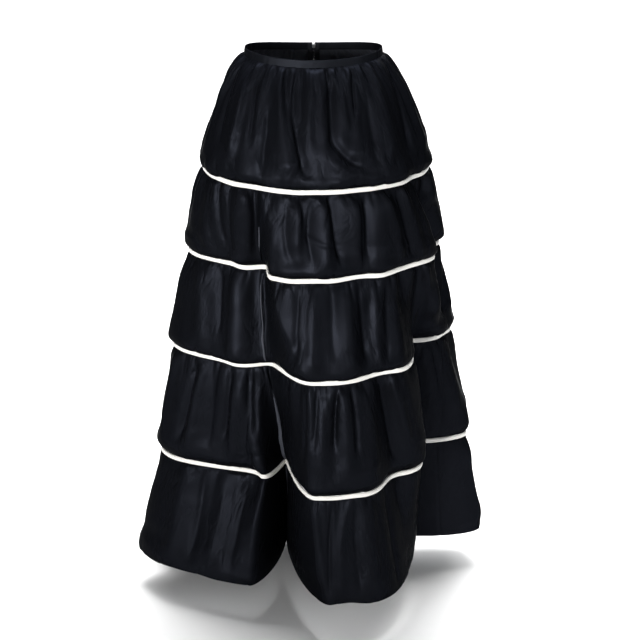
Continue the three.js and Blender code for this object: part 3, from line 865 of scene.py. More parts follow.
@dataclass
class Trim:
    """The piping and the waistband, as grids swept along the skirt. Sizes are in millimetres."""

    form: Form
    wave: SeamWave
    # Points round the piping's section, and columns round the skirt for each ring, counted from 3.
    roll_points: int = 18
    roll_columns: int = 150
    band_columns: int = 420
    band_points: int = 29
    # The row of stitches at the waistband's foot: how deep, how far up and how wide.
    stitch_depth: float = 0.3
    stitch_up: float = 1.8
    stitch_width: float = 0.5

    def piping(self, level: int) -> tuple[np.ndarray, np.ndarray]:
        """The white trim of one seam: a soft satin roll, a little twisted and puckered.

        Args:
            level: the ring, 1 to 4.

        Returns:
            Its points in metres and its faces: a squared ellipse swept along the ring.
        """
        columns = self.roll_columns * (level + 3)
        share = np.arange(columns) / columns
        angle = self.form.even_angles(level, -180, 180, share)
        plan = self.form.section(np.full_like(angle, level), angle)
        normal = self.form.normal(np.full_like(angle, level), angle)
        height = self.form.height(level, angle) + self.wave.at(level, angle)
        turn = np.linspace(0, 2 * np.pi, self.roll_points, endpoint=False)[:, None]
        half_out = (PIPING_NOSE + PIPING_ROOT) / 2
        middle = (PIPING_NOSE - PIPING_ROOT) / 2
        noise = Noise(300 + level, columns // 7, 6)
        twist = noise.at(share[None, :] + 0.004 * np.sin(turn), turn / (2 * np.pi))
        puckers = 1 + 0.1 * twist * np.clip(np.cos(turn) + 0.5, 0, 1.5)
        out = middle + half_out * self._squared(np.cos(turn), 0.8) * puckers
        up = PIPING_HEIGHT / 2 * self._squared(np.sin(turn), 0.75) * (1 + 0.04 * twist)
        up = up + 0.35 * Noise(320 + level, columns // 12, 1).at(share, np.float64(0.5))[None, :]
        xy = plan[None] + normal[None] * out[..., None]
        points = np.concatenate([xy, (height[None] + up)[..., None]], axis=-1)
        # Rows run up round the section, so they are turned to run down.
        points = np.concatenate([points, points[:1]])[::-1]
        return points * MM, grid_faces(len(turn) + 1, columns, closed=True)

    @staticmethod
    def _squared(wave: np.ndarray, power: float) -> np.ndarray:
        """A rounder or squarer wave of the same height."""
        return np.sign(wave) * np.abs(wave) ** power

    def band_point(self, angle: np.ndarray, up: np.ndarray, out: np.ndarray) -> np.ndarray:
        """A point of the waistband: up from its foot and out from its outer face.

        Args:
            angle: degrees from the centre front.
            up: millimetres up.
            out: millimetres out.

        Returns:
            Points in millimetres, with X, Y and Z in the last axis.
        """
        angle = np.asarray(angle, float)
        still = np.zeros_like(angle)
        lean = (out - BAND_LEAN * up)[..., None]
        plan = self.form.section(still, angle) + self.form.normal(still, angle) * lean
        height = self.form.height(0, angle) + up
        return np.concatenate([plan, height[..., None]], axis=-1)

    def waistband(self) -> tuple[np.ndarray, list, np.ndarray]:
        """The waistband: a folded strip with rounded edges, its ends apart at the zip.

        Returns:
            Its points in metres, its faces and its UV: a squared ellipse swept round the waist.
        """
        columns = self.band_columns
        turn = np.linspace(0, 2 * np.pi, self.band_points)[:, None]
        half = BAND_HEIGHT / 2
        up = half - half * self._squared(np.cos(turn), 0.22)
        out = -WALL / 2 - (WALL / 2) * self._squared(np.sin(turn), 0.7)
        gap_degrees = np.degrees((ZIP_HALF_SLIT + (NOTCH_HALF_WIDTH - ZIP_HALF_SLIT) * up / BAND_HEIGHT)
                                 / RINGS[0].half_width)
        share = np.linspace(0, 1, columns)[None, :]
        even = self.form.even_angles(0, -180, 180, share[0])[None, :]
        angle = even * (180 - gap_degrees) / 180
        noise = Noise(340, 90, 3).at(share, up / BAND_HEIGHT)
        swell = 0.25 * noise * np.clip(1 - up / BAND_HEIGHT, 0, 1)
        swell = swell + 0.12 * Noise(341, 30, 2).at(share, up / BAND_HEIGHT)
        stitch = -self.stitch_depth * np.exp(-((up - self.stitch_up) / self.stitch_width) ** 2)
        out_side = out > -WALL / 2
        out = out + swell + np.where(out_side, stitch, -stitch)
        up = up + 0 * angle
        points = self.band_point(angle, up, out + 0 * angle)
        points[-1] = points[0]
        start = np.arange(len(turn) - 1) * columns
        faces = grid_faces(len(turn), columns).tolist()
        faces += [start[::-1].tolist(), (start + columns - 1).tolist()]
        around = share * WAIST + 0 * up
        uv = np.stack([around, up * MM], axis=-1)
        return points * MM, faces, uv


def prism_mesh(name: str, outlines: list[list[tuple[float, float]]], thickness: float, bevel: float,
               look: bpy.types.Material, place: Matrix) -> bpy.types.Object:
    """A plate with rounded edges from an outline and its holes, in millimetres across and up.

    Args:
        name: name of the object.
        outlines: the outline and then its holes.
        thickness: thickness of the plate.
        bevel: radius of its edges.
        look: its material.
        place: where it stands, in metres.

    Returns:
        The linked object.
    """
    curve = bpy.data.curves.new(name, "CURVE")
    curve.dimensions = "2D"
    curve.fill_mode = "BOTH"
    curve.extrude = thickness / 2 - bevel
    curve.bevel_depth = bevel
    curve.bevel_resolution = 3
    curve.offset = -bevel
    for outline in outlines:
        spline = curve.splines.new("POLY")
        spline.points.add(len(outline) - 1)
        for point, (across, up) in zip(spline.points, outline):
            point.co = (across, up, 0, 1)
        spline.use_cyclic_u = True
    holder = bpy.data.objects.new(name + "_outline", curve)
    bpy.context.scene.collection.objects.link(holder)
    bpy.context.view_layer.update()
    evaluated = holder.evaluated_get(bpy.context.evaluated_depsgraph_get())
    mesh = bpy.data.meshes.new_from_object(evaluated)
    bpy.data.objects.remove(holder)
    bpy.data.curves.remove(curve)
    mesh.name = name
    mesh.transform(place @ Matrix.Scale(MM, 4))
    mesh.materials.clear()
    mesh.materials.append(look)
    mesh.polygons.foreach_set("use_smooth", [True] * len(mesh.polygons))
    made = bpy.data.objects.new(name, mesh)
    bpy.context.scene.collection.objects.link(made)
    return made


def rounded(half_width: float, low: float, high: float, corner: float,
            steps: int = 6) -> list[tuple[float, float]]:
    """A rectangle's outline with rounded corners.

    Args:
        half_width: half of its width.
        low: its lowest Y.
        high: its highest Y.
        corner: radius of its corners.
        steps: steps in each corner.

    Returns:
        Points anticlockwise, from the right side's top.
    """
    centres = ((half_width - corner, high - corner, 0), (corner - half_width, high - corner, 90),
               (corner - half_width, low + corner, 180), (half_width - corner, low + corner, 270))
    return [
        (x + corner * math.cos(math.radians(start + 90 * k / steps)),
         y + corner * math.sin(math.radians(start + 90 * k / steps)))
        for x, y, start in centres for k in range(steps + 1)
    ]


@dataclass
class Zip:
    """The zip in the centre back: tapes, coil, slider and pull tab. Sizes are in millimetres."""

    trim: Trim
    first_tier: TierCloth
    tape_top: float = 14.0
    coil_top: float = 5.0
    coil_half_gap: float = 1.1
    coil_radius: float = 0.95
    coil_flat: float = 0.5
    wire: float = 0.26
    pitch: float = 1.3
    tape_width: float = 10.0
    tape_thickness: float = 0.8
    # How far up the band and out from its face the pull tab turns, and how far it is tilted.
    slider_up: float = 9.5
    pivot_out: float = 1.9
    tilt: float = 18.0

    def __post_init__(self) -> None:
        """Finds the way down the back, and the pull tab's pivot."""
        first_tier, trim = self.first_tier, self.trim
        column = int(np.argmin(np.abs(first_tier.share - BACK_SHARE)))
        cloth = first_tier.points[:, column, 1:] / MM
        ends = np.searchsorted(first_tier.down, ZIP_DOWN)
        band = trim.band_point(np.array([180.0, 180.0]), np.array([self.tape_top, 0.0]), np.zeros(2))[:, 1:]
        self.way = np.concatenate([band, cloth[2:ends]])
        ring = RINGS[0]
        self.bend = ring.half_depth / (2 * ring.half_width**2)
        pivot = trim.band_point(np.array([180.0]), np.array([self.slider_up]), np.array([self.pivot_out]))[0]
        self.pivot = Vector((0.0, float(pivot[1]), float(pivot[2]))) * MM

    def path(self, depth: float, top: float, count: int) -> np.ndarray:
        """Points down the zip at a depth inside the cloth's outer face, as Y and Z.

        Args:
            depth: millimetres inside the outer face.
            top: where it starts, in millimetres up the band.
            count: how many points.

        Returns:
            The points, one to a row.
        """
        lengths = np.concatenate([[0], np.cumsum(np.linalg.norm(np.diff(self.way, axis=0), axis=1))])
        at = np.linspace(self.tape_top - top, lengths[-1], count)
        y, z = np.interp(at, lengths, self.way[:, 0]), np.interp(at, lengths, self.way[:, 1])
        dy, dz = np.gradient(y), np.gradient(z)
        size = np.hypot(dy, dz)
        return np.stack([y + dz / size * depth, z - dy / size * depth], axis=-1)

    def tape(self, side: int) -> tuple[np.ndarray, np.ndarray, np.ndarray]:
        """One tape: a thin woven strip.

        Args:
            side: 1 for the left one and -1 for the right one.

        Returns:
            Its points in metres, its faces and its UV.
        """
        rows, across = 90, np.linspace(0, 1, 9)
        x = side * (self.coil_half_gap + self.tape_width * across)
        sheets = []
        for depth in (TAPE_DEPTH, TAPE_DEPTH + self.tape_thickness):
            way = self.path(depth, self.tape_top, rows)
            sheet = np.zeros((rows, len(x), 3))
            sheet[..., 0] = x
            sheet[..., 1] = way[:, :1] - self.bend * x**2
            sheet[..., 2] = way[:, 1:]
            sheets.append(sheet)
        loop = np.concatenate([sheets[0], sheets[1][:, ::-1], sheets[0][:, :1]], axis=1)
        pairs = np.arange(len(x) - 1)[:, None]
        end = np.concatenate([pairs, pairs + 1, 2 * len(x) - 2 - pairs, 2 * len(x) - 1 - pairs], axis=1)
        foot = (rows - 1) * loop.shape[1] + end[:, ::-1]
        faces = np.concatenate([grid_faces(rows, loop.shape[1]), end, foot])
        if side > 0:
            faces = faces[:, ::-1]
        uv = np.stack(np.broadcast_arrays(np.linspace(0, 0.02, loop.shape[1])[None, :],
                                          np.linspace(0, -0.19, rows)[:, None]), axis=-1)
        return loop * MM, faces, uv

    def coil(self) -> tuple[np.ndarray, list]:
        """The coil: one helix that stands for the two that interlock.

        Returns:
            Its points in metres and its faces.
        """
        length = float(np.linalg.norm(np.diff(self.way, axis=0), axis=1).sum())
        length += self.coil_top - self.tape_top
        turns = int(length / self.pitch)
        per_turn, sides = 14, 6
        count = turns * per_turn
        way = self.path(TAPE_DEPTH + 0.75, self.coil_top, count)
        turn = 2 * np.pi * np.arange(count) / per_turn
        across, out = self.coil_radius * np.cos(turn), self.coil_flat * np.sin(turn)
        centre = np.stack([across, way[:, 0] - out, way[:, 1]], axis=-1)
        along = np.gradient(centre, axis=0)
        along /= np.linalg.norm(along, axis=1, keepdims=True)
        first = np.cross(along, np.array([0, 0, 1.0]))
        first /= np.linalg.norm(first, axis=1, keepdims=True)
        second = np.cross(along, first)
        spin = 2 * np.pi * np.arange(sides) / sides
        ring = first[:, None] * np.cos(spin)[None, :, None] + second[:, None] * np.sin(spin)[None, :, None]
        ends = [list(range(sides))[::-1], list(range((count - 1) * sides, count * sides))]
        faces = grid_faces(count, sides, closed=True)[:, ::-1].tolist() + ends
        return (centre[:, None] + self.wire * ring) * MM, faces

    def slider(self, look: bpy.types.Material) -> bpy.types.Object:
        """The slider: a body behind the tapes and a bail that comes out through the notch.

        Args:
            look: its material.

        Returns:
            The object.
        """
        place = Matrix.Translation(self.pivot) @ Matrix.Rotation(math.atan(BAND_LEAN), 4, "X")
        face_out = Matrix.Rotation(math.pi / 2, 4, "X")
        inner = -(self.pivot_out + TAPE_DEPTH + self.tape_thickness + GAP)
        body = prism_mesh("slider_body", [rounded(3.0, -4.0, 4.0, 1.4)], 2.4, 0.5, look,
                          place @ Matrix.Translation((0, (inner - 1.2) * MM, 0)) @ face_out)
        side_on = Matrix(((0, 0, 1, 0), (1, 0, 0, 0), (0, 1, 0, 0), (0, 0, 0, 1)))
        start = inner - 1.0
        hoop = [(x + (1.6 + start) / 2, y) for x, y in rounded((1.6 - start) / 2, -2.5, 2.5, 1.1)]
        hole = rounded(0.8, -1.7, 1.7, 0.5)
        bail = prism_mesh("slider_bail", [hoop, hole], 1.6, 0.25, look, place @ side_on)
        return join_objects("zip_slider_metal", [body, bail])

    def pull(self, look: bpy.types.Material) -> bpy.types.Object:
        """The pull tab: a rounded plate with an eye at its top.

        Args:
            look: its material.

        Returns:
            The object.
        """
        place = Matrix.Translation(self.pivot) @ Matrix.Rotation(math.radians(self.tilt), 4, "X")
        face_out = Matrix.Rotation(math.pi / 2, 4, "X")
        plate = [(2.25, 0.45), (-2.25, 0.45), (-2.8, -3.0)]
        plate += [(-2.8 * math.cos(a), -12.2 - 2.8 * math.sin(a)) for a in np.linspace(0, math.pi, 16)]
        plate += [(2.8, -3.0)]
        eye = rounded(1.2, -3.45, -0.45, 0.35)
        return prism_mesh("zip_pull_tab", [plate, eye], 0.9, 0.2, look, place @ face_out)


def join_objects(name: str, objects: list[bpy.types.Object]) -> bpy.types.Object:
    """Joins meshes into a new one, with the look of the first.

    Args:
        name: the new name.
        objects: what is joined, and removed.

    Returns:
        The new object.
    """
    vertices: list[tuple[float, float, float]] = []
    faces: list[list[int]] = []
    for thing in objects:
        first = len(vertices)
        vertices += [tuple(v.co) for v in thing.data.vertices]
        faces += [[first + i for i in face.vertices] for face in thing.data.polygons]
    look = objects[0].data.materials[0]
    for thing in objects:
        bpy.data.objects.remove(thing)
    return Piece.of(name, np.array(vertices), faces, look)


Value = float | tuple | bpy.types.NodeSocket


class Threads(Enum):
    """The ways that threads run, as directions of a wave texture's bands."""

    WARP = "X"
    WEFT = "Y"
    RIB = "Z"
    TWILL = "DIAGONAL"


class Nodes:
    """A node tree and short ways to add to it."""

    def __init__(self, tree: bpy.types.NodeTree) -> None:
        """Takes a tree.

        Args:
            tree: the tree that nodes are added to.
        """
        self.tree = tree

    def feed(self, socket: bpy.types.NodeSocket, value: Value) -> None:
        """Sets a socket, or wires another node's output into it.

        Args:
            socket: the input.
            value: a value, or an output.
        """
        if isinstance(value, bpy.types.NodeSocket):
            self.tree.links.new(value, socket)
        else:
            socket.default_value = value

    def add(self, kind: str, inputs: dict[str | int, Value], **settings: object) -> bpy.types.Node:
        """Adds a node with its settings and inputs.

        Args:
            kind: the node's type.
            inputs: a value or an output for each named input.
            **settings: the node's own settings.

        Returns:
            The node.
        """
        node = self.tree.nodes.new(kind)
        for key, setting in settings.items():
            setattr(node, key, setting)
        for key, value in inputs.items():
            self.feed(node.inputs[key], value)
        return node

    def noise(self, vector: Value, scale: float, detail: float, **more: Value) -> bpy.types.NodeSocket:
        """A noise texture's value."""
        inputs = {"Vector": vector, "Scale": scale, "Detail": detail, **more}
        return self.add("ShaderNodeTexNoise", inputs).outputs["Fac"]

    def threads(self, vector: Value, way: Threads, scale: float, distortion: float,
                **more: Value) -> bpy.types.NodeSocket:
        """Threads side by side, as a wave texture's bands."""
        inputs = {"Vector": vector, "Scale": scale, "Distortion": distortion, **more}
        return self.add("ShaderNodeTexWave", inputs, bands_direction=way.value).outputs["Fac"]

    def bump(self, strength: float, distance: float, height: Value, **more: Value) -> bpy.types.NodeSocket:
        """A normal that is moved by a height, with the distance in metres."""
        inputs = {"Strength": strength, "Distance": distance, "Height": height, **more}
        return self.add("ShaderNodeBump", inputs).outputs["Normal"]

    def sums(self, operation: str, *values: Value) -> bpy.types.NodeSocket:
        """The result of a sum."""
        return self.add("ShaderNodeMath", dict(enumerate(values)), operation=operation).outputs[0]

    def ranged(self, value: Value, **ends: Value) -> bpy.types.NodeSocket:
        """A value brought from one range to another, with underscores for spaces in the ends' names."""
        inputs = {"Value": value, **{key.replace("_", " "): end for key, end in ends.items()}}
        return self.add("ShaderNodeMapRange", inputs).outputs["Result"]


class Look(Nodes):
    """A material and the nodes that feed its surface."""

    def __init__(self, name: str) -> None:
        """Makes the material.

        Args:
            name: its name.
        """
        self.material = bpy.data.materials.new(name)
        self.material.use_nodes = True
        super().__init__(self.material.node_tree)
        self.surface = self.tree.nodes["Principled BSDF"]

    def cloth(self) -> bpy.types.NodeSocket:
        """Places on the cut cloth, in metres."""
        return self.add("ShaderNodeUVMap", {}, uv_map=Piece.UV).outputs["UV"]

    def place(self) -> bpy.types.NodeSocket:
        """Places on the object, in metres."""
        return self.add("ShaderNodeTexCoord", {}).outputs["Object"]

    def surface_is(self, colour: tuple[float, float, float], **values: Value) -> bpy.types.Material:
        """Sets the surface's sockets.

        Args:
            colour: its base colour.
            **values: the other sockets, named with underscores for spaces.

        Returns:
            The material.
        """
        self.feed(self.surface.inputs["Base Color"], (*colour, 1.0))
        for key, value in values.items():
            self.feed(self.surface.inputs[key.replace("_", " ")], value)
        return self.material


@dataclass(frozen=True)
class SatinFace:
    """The satin's weave, slubs, crinkles and uneven gloss, as a node group that both satins use.

    Scales are in cells for each metre, and distances in metres.
    """

    NAME: ClassVar[str] = "satin_face"
    warp: float = 420.0
    weft: float = 300.0
    weave_distance: float = 0.00006
    slub: float = 60.0
    slub_distance: float = 0.0006
    crinkle: float = 42.0
    crinkle_stretch: tuple[float, float, float] = (1.0, 0.42, 1.0)
    crinkle_distance: float = 0.0065
    patch: float = 11.0
    wear: float = 9.0

    def group(self) -> bpy.types.NodeTree:
        """The group, which is built once.

        Returns:
            A tree with inputs Cloth, Smoothest and Roughest and outputs Roughness and Normal.
        """
        if self.NAME in bpy.data.node_groups:
            return bpy.data.node_groups[self.NAME]
        nodes = Nodes(bpy.data.node_groups.new(self.NAME, "ShaderNodeTree"))
        for name, way, kind in (
            ("Cloth", "INPUT", "NodeSocketVector"), ("Smoothest", "INPUT", "NodeSocketFloat"),
            ("Roughest", "INPUT", "NodeSocketFloat"), ("Roughness", "OUTPUT", "NodeSocketFloat"),
            ("Normal", "OUTPUT", "NodeSocketVector"),
        ):
            nodes.tree.interface.new_socket(name=name, in_out=way, socket_type=kind)
        given = nodes.add("NodeGroupInput", {}).outputs
        cloth = given["Cloth"]
        warp = nodes.threads(cloth, Threads.WARP, self.warp, 0.6, Detail=1.0)
        weft = nodes.threads(cloth, Threads.WEFT, self.weft, 0.8, Detail=1.0)
        normal = nodes.bump(0.25, self.weave_distance, nodes.sums("ADD", warp, weft))
        slub = nodes.noise(cloth, self.slub, 4.0, Roughness=0.6)
        normal = nodes.bump(0.35, self.slub_distance, slub, Normal=normal)
        # A crinkle is a sharp line where a noise crosses its middle, in some patches only.
        drawn = nodes.add("ShaderNodeMapping", {"Vector": cloth, "Scale": self.crinkle_stretch})
        uneven = nodes.noise(drawn.outputs["Vector"], self.crinkle, 3.0, Roughness=0.5, Distortion=0.4)
        line = nodes.sums("ABSOLUTE", nodes.sums("SUBTRACT", uneven, 0.5))
        where = nodes.ranged(nodes.noise(cloth, self.patch, 1.0), From_Min=0.42, From_Max=0.62)
        crinkled = nodes.sums("MULTIPLY", line, where)
        normal = nodes.bump(0.8, self.crinkle_distance, crinkled, Normal=normal)
        worn = nodes.noise(cloth, self.wear, 3.0)
        rough = nodes.ranged(worn, From_Min=0.3, From_Max=0.7, To_Min=given["Smoothest"],
                             To_Max=given["Roughest"])
        nodes.add("NodeGroupOutput", {"Roughness": rough, "Normal": normal})
        return nodes.tree


@dataclass(frozen=True)
class Satin:
    """Heavy satin: a dark dyed ground with a broad soft shine that stays dark at the edges."""

    name: str
    colour: tuple[float, float, float]
    gloss: float
    smoother: float = 0.04
    rougher: float = 0.06
    ior: float = 1.1
    level: float = 0.5
    metallic: float = 0.8
    anisotropic: float = 0.3
    edge: tuple[float, float, float, float] = (0.1, 0.102, 0.107, 1.0)

    def material(self) -> bpy.types.Material:
        """Makes the material."""
        look = Look(self.name)
        face = look.add("ShaderNodeGroup", {}, node_tree=SatinFace().group())
        look.feed(face.inputs["Cloth"], look.cloth())
        look.feed(face.inputs["Smoothest"], self.gloss - self.smoother)
        look.feed(face.inputs["Roughest"], self.gloss + self.rougher)
        along = look.add("ShaderNodeTangent", {}, direction_type="UV_MAP", uv_map=Piece.UV)
        return look.surface_is(
            self.colour, Roughness=face.outputs["Roughness"], IOR=self.ior, Specular_IOR_Level=self.level,
            Metallic=self.metallic, Anisotropic=self.anisotropic, Specular_Tint=self.edge,
            Tangent=along.outputs["Tangent"], Normal=face.outputs["Normal"])


@dataclass(frozen=True)
class WrongSide:
    """The satin's wrong side: duller than the face, and paler. It is paler partly as the back of satin is,
    and partly as painted light for the shaded inside.
    """

    name: str = "satin_wrong_side_brightened"
    # Paler than the navy face: partly the duller back of satin, and partly painted light that brightens the
    # inside of the skirt, which lies in shade.
    colour: tuple[float, float, float] = (0.034, 0.037, 0.047)
    roughness: float = 0.7
    level: float = 0.2
    twill: float = 300.0

    def material(self) -> bpy.types.Material:
        """Makes the material."""
        look = Look(self.name)
        bump = look.bump(0.4, 0.0001, look.threads(look.cloth(), Threads.TWILL, self.twill, 0.8, Detail=1.0))
        return look.surface_is(self.colour, Roughness=self.roughness, Specular_IOR_Level=self.level,
                               Normal=bump)


@dataclass(frozen=True)
class PipingSatin:
    """White satin over the piping's cord, finely creased."""

    name: str = "piping_satin_look"
    colour: tuple[float, float, float] = (0.74, 0.725, 0.69)
    roughness: float = 0.5
    level: float = 0.4
    creases: float = 260.0

    def material(self) -> bpy.types.Material:
        """Makes the material."""
        look = Look(self.name)
        bump = look.bump(0.3, 0.0004, look.noise(look.place(), self.creases, 3.0))
        return look.surface_is(self.colour, Roughness=self.roughness, Specular_IOR_Level=self.level,
                               Normal=bump, Sheen_Weight=0.1, Sheen_Roughness=0.4)


@dataclass(frozen=True)
class ZipCloth:
    """Woven zip tape, ribbed across."""

    name: str = "zip_cloth_look"
    colour: tuple[float, float, float] = (0.006, 0.0068, 0.009)
    roughness: float = 0.75
    level: float = 0.15
    ribs: float = 500.0

    def material(self) -> bpy.types.Material:
        """Makes the material."""
        look = Look(self.name)
        bump = look.bump(0.5, 0.0001, look.threads(look.place(), Threads.RIB, self.ribs, 0.4))
        return look.surface_is(self.colour, Roughness=self.roughness, Specular_IOR_Level=self.level,
                               Normal=bump)


@dataclass(frozen=True)
class ZipMetal:
    """Nickel-plated metal, lightly scuffed."""

    name: str = "zip_metal_look"
    colour: tuple[float, float, float] = (0.56, 0.565, 0.58)
    smoothest: float = 0.2
    roughest: float = 0.42
    scuffs: float = 900.0

    def material(self) -> bpy.types.Material:
        """Makes the material."""
        look = Look(self.name)
        scuff = look.noise(look.place(), self.scuffs, 2.0)
        rough = look.ranged(scuff, To_Min=self.smoothest, To_Max=self.roughest)
        return look.surface_is(self.colour, Metallic=1.0, Roughness=rough)


@dataclass(frozen=True)
class FloorPaint:
    """A plain pale floor."""

    name: str = "floor_look"
    colour: tuple[float, float, float] = (0.86, 0.86, 0.86)
    roughness: float = 0.9

    def material(self) -> bpy.types.Material:
        """Makes the material."""
        return Look(self.name).surface_is(self.colour, Roughness=self.roughness, Specular_IOR_Level=0.0)


@dataclass(frozen=True)
class Softbox:
    """An area light, aimed at a point. Sizes in metres, power in watts and spread in degrees."""

    name: str
    place: tuple[float, float, float]
    aim: tuple[float, float, float]
    width: float
    height: float
    power: float
    spread: float
    colour: tuple[float, float, float]


SOFTBOXES = (
    Softbox("key", (-1.45, -3.3, 0.15), (-0.1, -0.2, -0.36), 1.2, 1.0, 6.5, 24, (1.0, 0.99, 0.975)),
    Softbox("fill", (2.6, -2.6, 0.6), (0.1, 0, -0.2), 1.0, 1.4, 2.5, 50, (0.95, 0.975, 1.0)),
    Softbox("waist", (0.1, -1.6, 1.9), (0, 0.1, -0.06), 0.6, 0.5, 0.3, 18, (1.0, 1.0, 1.0)),
    Softbox("top", (0.0, 1.1, 2.6), (0, 1.1, -0.4), 2.4, 1.6, 60, 80, (1.0, 1.0, 1.0)),
    Softbox("back", (1.4, 3.0, 1.2), (0, 0, -0.5), 1.4, 1.6, 18, 90, (0.97, 0.985, 1.0)),
    Softbox("sweep", (0.0, 3.6, 3.4), (0, 3.6, -1.0), 8.0, 5.6, 400, 110, (1.0, 1.0, 1.0)),
)


@dataclass(frozen=True)
class Studio:
    """The floor, the lights, the camera and the sky. Sizes are in metres."""

    camera_place: tuple[float, float, float] = (0.012, -3.9467, 0.8984)
    # Degrees up from straight down.
    camera_tilt: float = 70.0
    # In millimetres.
    lens: float = 122.4
    sensor: float = 36.0
    clip_end: float = 500.0
    floor_half: float = 60.0
    sky: tuple[float, float, float, float] = (0.96, 0.98, 1.0, 1.0)
    sky_strength: float = 0.14

    def build(self) -> None:
        """Builds the studio."""
        half = self.floor_half
        corners = np.array([(-half, -half, 0), (half, -half, 0), (half, half, 0), (-half, half, 0)], float)
        corners[:, 2] = FLOOR_LEVEL
        floor = Piece.of("studio_floor", corners, [[0, 1, 2, 3]], FloorPaint().material(), soft=False)
        for box in SOFTBOXES:
            self._light(box)
        self._camera()
        self._world()

    @staticmethod
    def _light(box: Softbox) -> None:
        """Hangs a light.

        Args:
            box: what it is and where.
        """
        light = bpy.data.lights.new(box.name, "AREA")
        light.shape = "RECTANGLE"
        light.size, light.size_y = box.width, box.height
        light.energy = box.power
        light.spread = math.radians(box.spread)
        light.color = box.colour
        lamp = bpy.data.objects.new(box.name, light)
        lamp.location = box.place
        lamp.rotation_euler = (Vector(box.aim) - Vector(box.place)).to_track_quat("-Z", "Y").to_euler()
        bpy.context.scene.collection.objects.link(lamp)

    def _camera(self) -> None:
        """Places the camera at the photo's angle."""
        view = bpy.data.cameras.new("photo_view")
        view.lens = self.lens
        view.sensor_width = self.sensor
        view.clip_end = self.clip_end
        camera = bpy.data.objects.new("photo_view", view)
        camera.location = self.camera_place
        camera.rotation_euler = (math.radians(self.camera_tilt), 0.0, 0.0)
        bpy.context.scene.collection.objects.link(camera)
        bpy.context.scene.camera = camera

    def _world(self) -> None:
        """Sets the sky and the plain view transform."""
        world = bpy.data.worlds.new("studio")
        world.use_nodes = True
        background = world.node_tree.nodes["Background"]
        background.inputs["Color"].default_value = self.sky
        background.inputs["Strength"].default_value = self.sky_strength
        scene = bpy.context.scene
        scene.world = world
        scene.view_settings.view_transform = "Standard"
        scene.view_settings.look = "None"
        scene.view_settings.exposure = 0.0
        scene.view_settings.gamma = 1.0


@dataclass(frozen=True)
class Cut:
    """One panel: where it starts and ends round the skirt, and its flat width and height in metres."""

    node: str
    first: float
    last: float
    flat: tuple[float, float]


CUTS: tuple[tuple[Cut, ...], ...] = (
    (Cut("tier_1_front", 0, 0.5, (0.62, 0.23)), Cut("tier_1_back_left", 0.5, BACK_SHARE, (0.31, 0.23)),
     Cut("tier_1_back_right", BACK_SHARE, 1, (0.31, 0.23))),
    (Cut("tier_2_front", 0, 0.5, (0.8, 0.18)), Cut("tier_2_back", 0.5, 1, (0.8, 0.18))),
    (Cut("tier_3_front", 0, 0.5, (0.95, 0.2)), Cut("tier_3_back", 0.5, 1, (0.95, 0.2))),
    (Cut("tier_4_front", 0, 0.5, (1.15, 0.24)), Cut("tier_4_back", 0.5, 1, (1.15, 0.24))),
    (Cut("tier_5_front", 0, 0.5, (1.35, 0.22)), Cut("tier_5_back", 0.5, 1, (1.35, 0.22))),
)


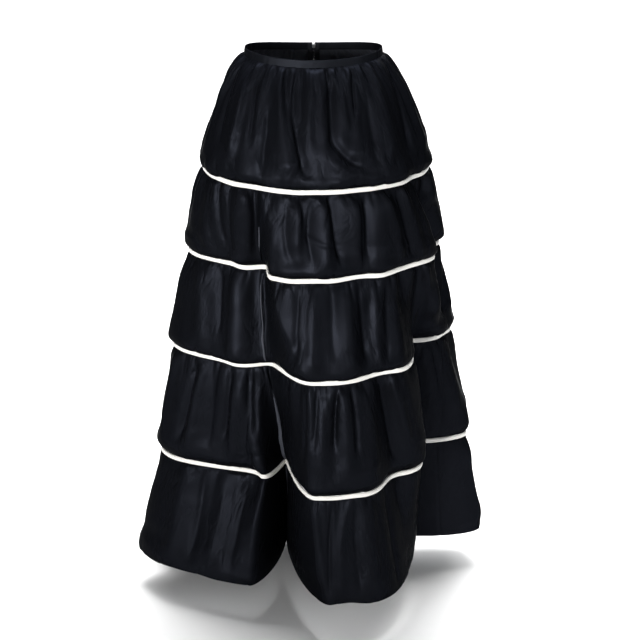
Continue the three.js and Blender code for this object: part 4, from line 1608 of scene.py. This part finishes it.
class Skirt:
    """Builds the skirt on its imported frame."""

    def __init__(self) -> None:
        """Works out the form and makes the finishes."""
        self.form = Form(RINGS, FOLDS)
        self.wave = SeamWave()
        self.trim = Trim(self.form, self.wave)
        self.navy = Satin("navy_satin", (0.0072, 0.0079, 0.0104), gloss=0.49).material()
        self.reverse = WrongSide().material()
        # The waistband's satin is a paler copy of the navy satin. This is painted light that brightens the
        # inside of the band at the back, which lies in shade.
        self.band_navy_brightened = Satin("band_satin_brightened", (0.0105, 0.0115, 0.0145), gloss=0.5).material()
        self.white = PipingSatin().material()
        self.tape = ZipCloth().material()
        self.metal = ZipMetal().material()

    def build(self) -> None:
        """Builds every piece."""
        tiers = [TierCloth(self.form, self.wave, index) for index in range(len(TIERS))]
        for tier, cuts in zip(tiers, CUTS):
            for cut in cuts:
                self._panel(tier, cut)
            log.info("%s: %.0f mm round, %.0f mm high", tier.tier.name, tier.round, tier.height)
        for level in range(1, len(TIERS)):
            points, faces = self.trim.piping(level)
            roll = Piece.of(f"piping_roll_{level}", points, faces, self.white)
            self._fit(roll, f"piping_{level}", Slot.PIPING)
        points, faces, uv = self.trim.waistband()
        self._fit(Piece.of("waistband_strip", points, faces, self.band_navy_brightened, uv), "waistband", Slot.SATIN)
        self._zip(tiers[0])

    @staticmethod
    def _fit(piece: bpy.types.Object, node: str, slot: Slot, body: Body = Body.SKIRT) -> None:
        """Has a piece stand for a node of the frame.

        Args:
            piece: the piece.
            node: the node that it replaces.
            slot: its material slot; not used.
            body: the body that it rides on.
        """
        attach(piece, body.value)
        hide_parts(node)
        log.info("%s stands for %s", piece.name, node)

    def _panel(self, tier: TierCloth, cut: Cut) -> None:
        """Makes one cut panel of a tier.

        Args:
            tier: the tier.
            cut: which panel.
        """
        columns = tier.tier.columns
        first, last = round(cut.first * columns), round(cut.last * columns)
        points = tier.points[:, first:last + 1].copy()
        uv = tier.uv[:, first:last + 1]
        rows, across = points.shape[:2]
        if tier.tier.back_split:
            # The two backs stop just short of each other over the zip.
            for column, side in ((0, 1), (across - 1, -1)):
                if math.isclose(tier.share[first + column], BACK_SHARE):
                    points[:, column, 0] -= side * ZIP_HALF_SLIT * MM
        panel = Piece.of(cut.node + "_cloth", points, grid_faces(rows, across), self.navy, uv)
        sharpen_borders(panel, rows, across)
        shell = panel.modifiers.new("thickness", "SOLIDIFY")
        shell.thickness = CLOTH * MM
        shell.offset = -1.0
        # The inner faces take the wrong side's satin, which is made paler in part as painted light for the
        # shaded inside.
        panel.data.materials.append(self.reverse)
        shell.material_offset = 1
        self._fit(panel, cut.node, Slot.SATIN)

    def _zip(self, first_tier: TierCloth) -> None:
        """Makes the zip.

        Args:
            first_tier: the tier that it is sewn into.
        """
        zipper = Zip(self.trim, first_tier)
        for side, name in ((1, "left"), (-1, "right")):
            points, faces, uv = zipper.tape(side)
            tape = Piece.of(f"zip_tape_{name}_weave", points, faces, self.tape, uv)
            self._fit(tape, f"zip_tape_{name}", Slot.ZIP_CLOTH)
        points, faces = zipper.coil()
        self._fit(Piece.of("zip_coil_turns", points, faces, self.tape), "zip_coil", Slot.ZIP_CLOTH)
        self._fit(zipper.slider(self.metal), "zip_slider", Slot.ZIP_METAL)
        self._fit(zipper.pull(self.metal), "zip_pull", Slot.ZIP_METAL, Body.PULL)


def main() -> None:
    """Builds the scene."""
    logging.basicConfig(level=logging.INFO)
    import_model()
    Skirt().build()
    Studio().build()
    bpy.context.view_layer.update()


if __name__ == "__main__":
    main()
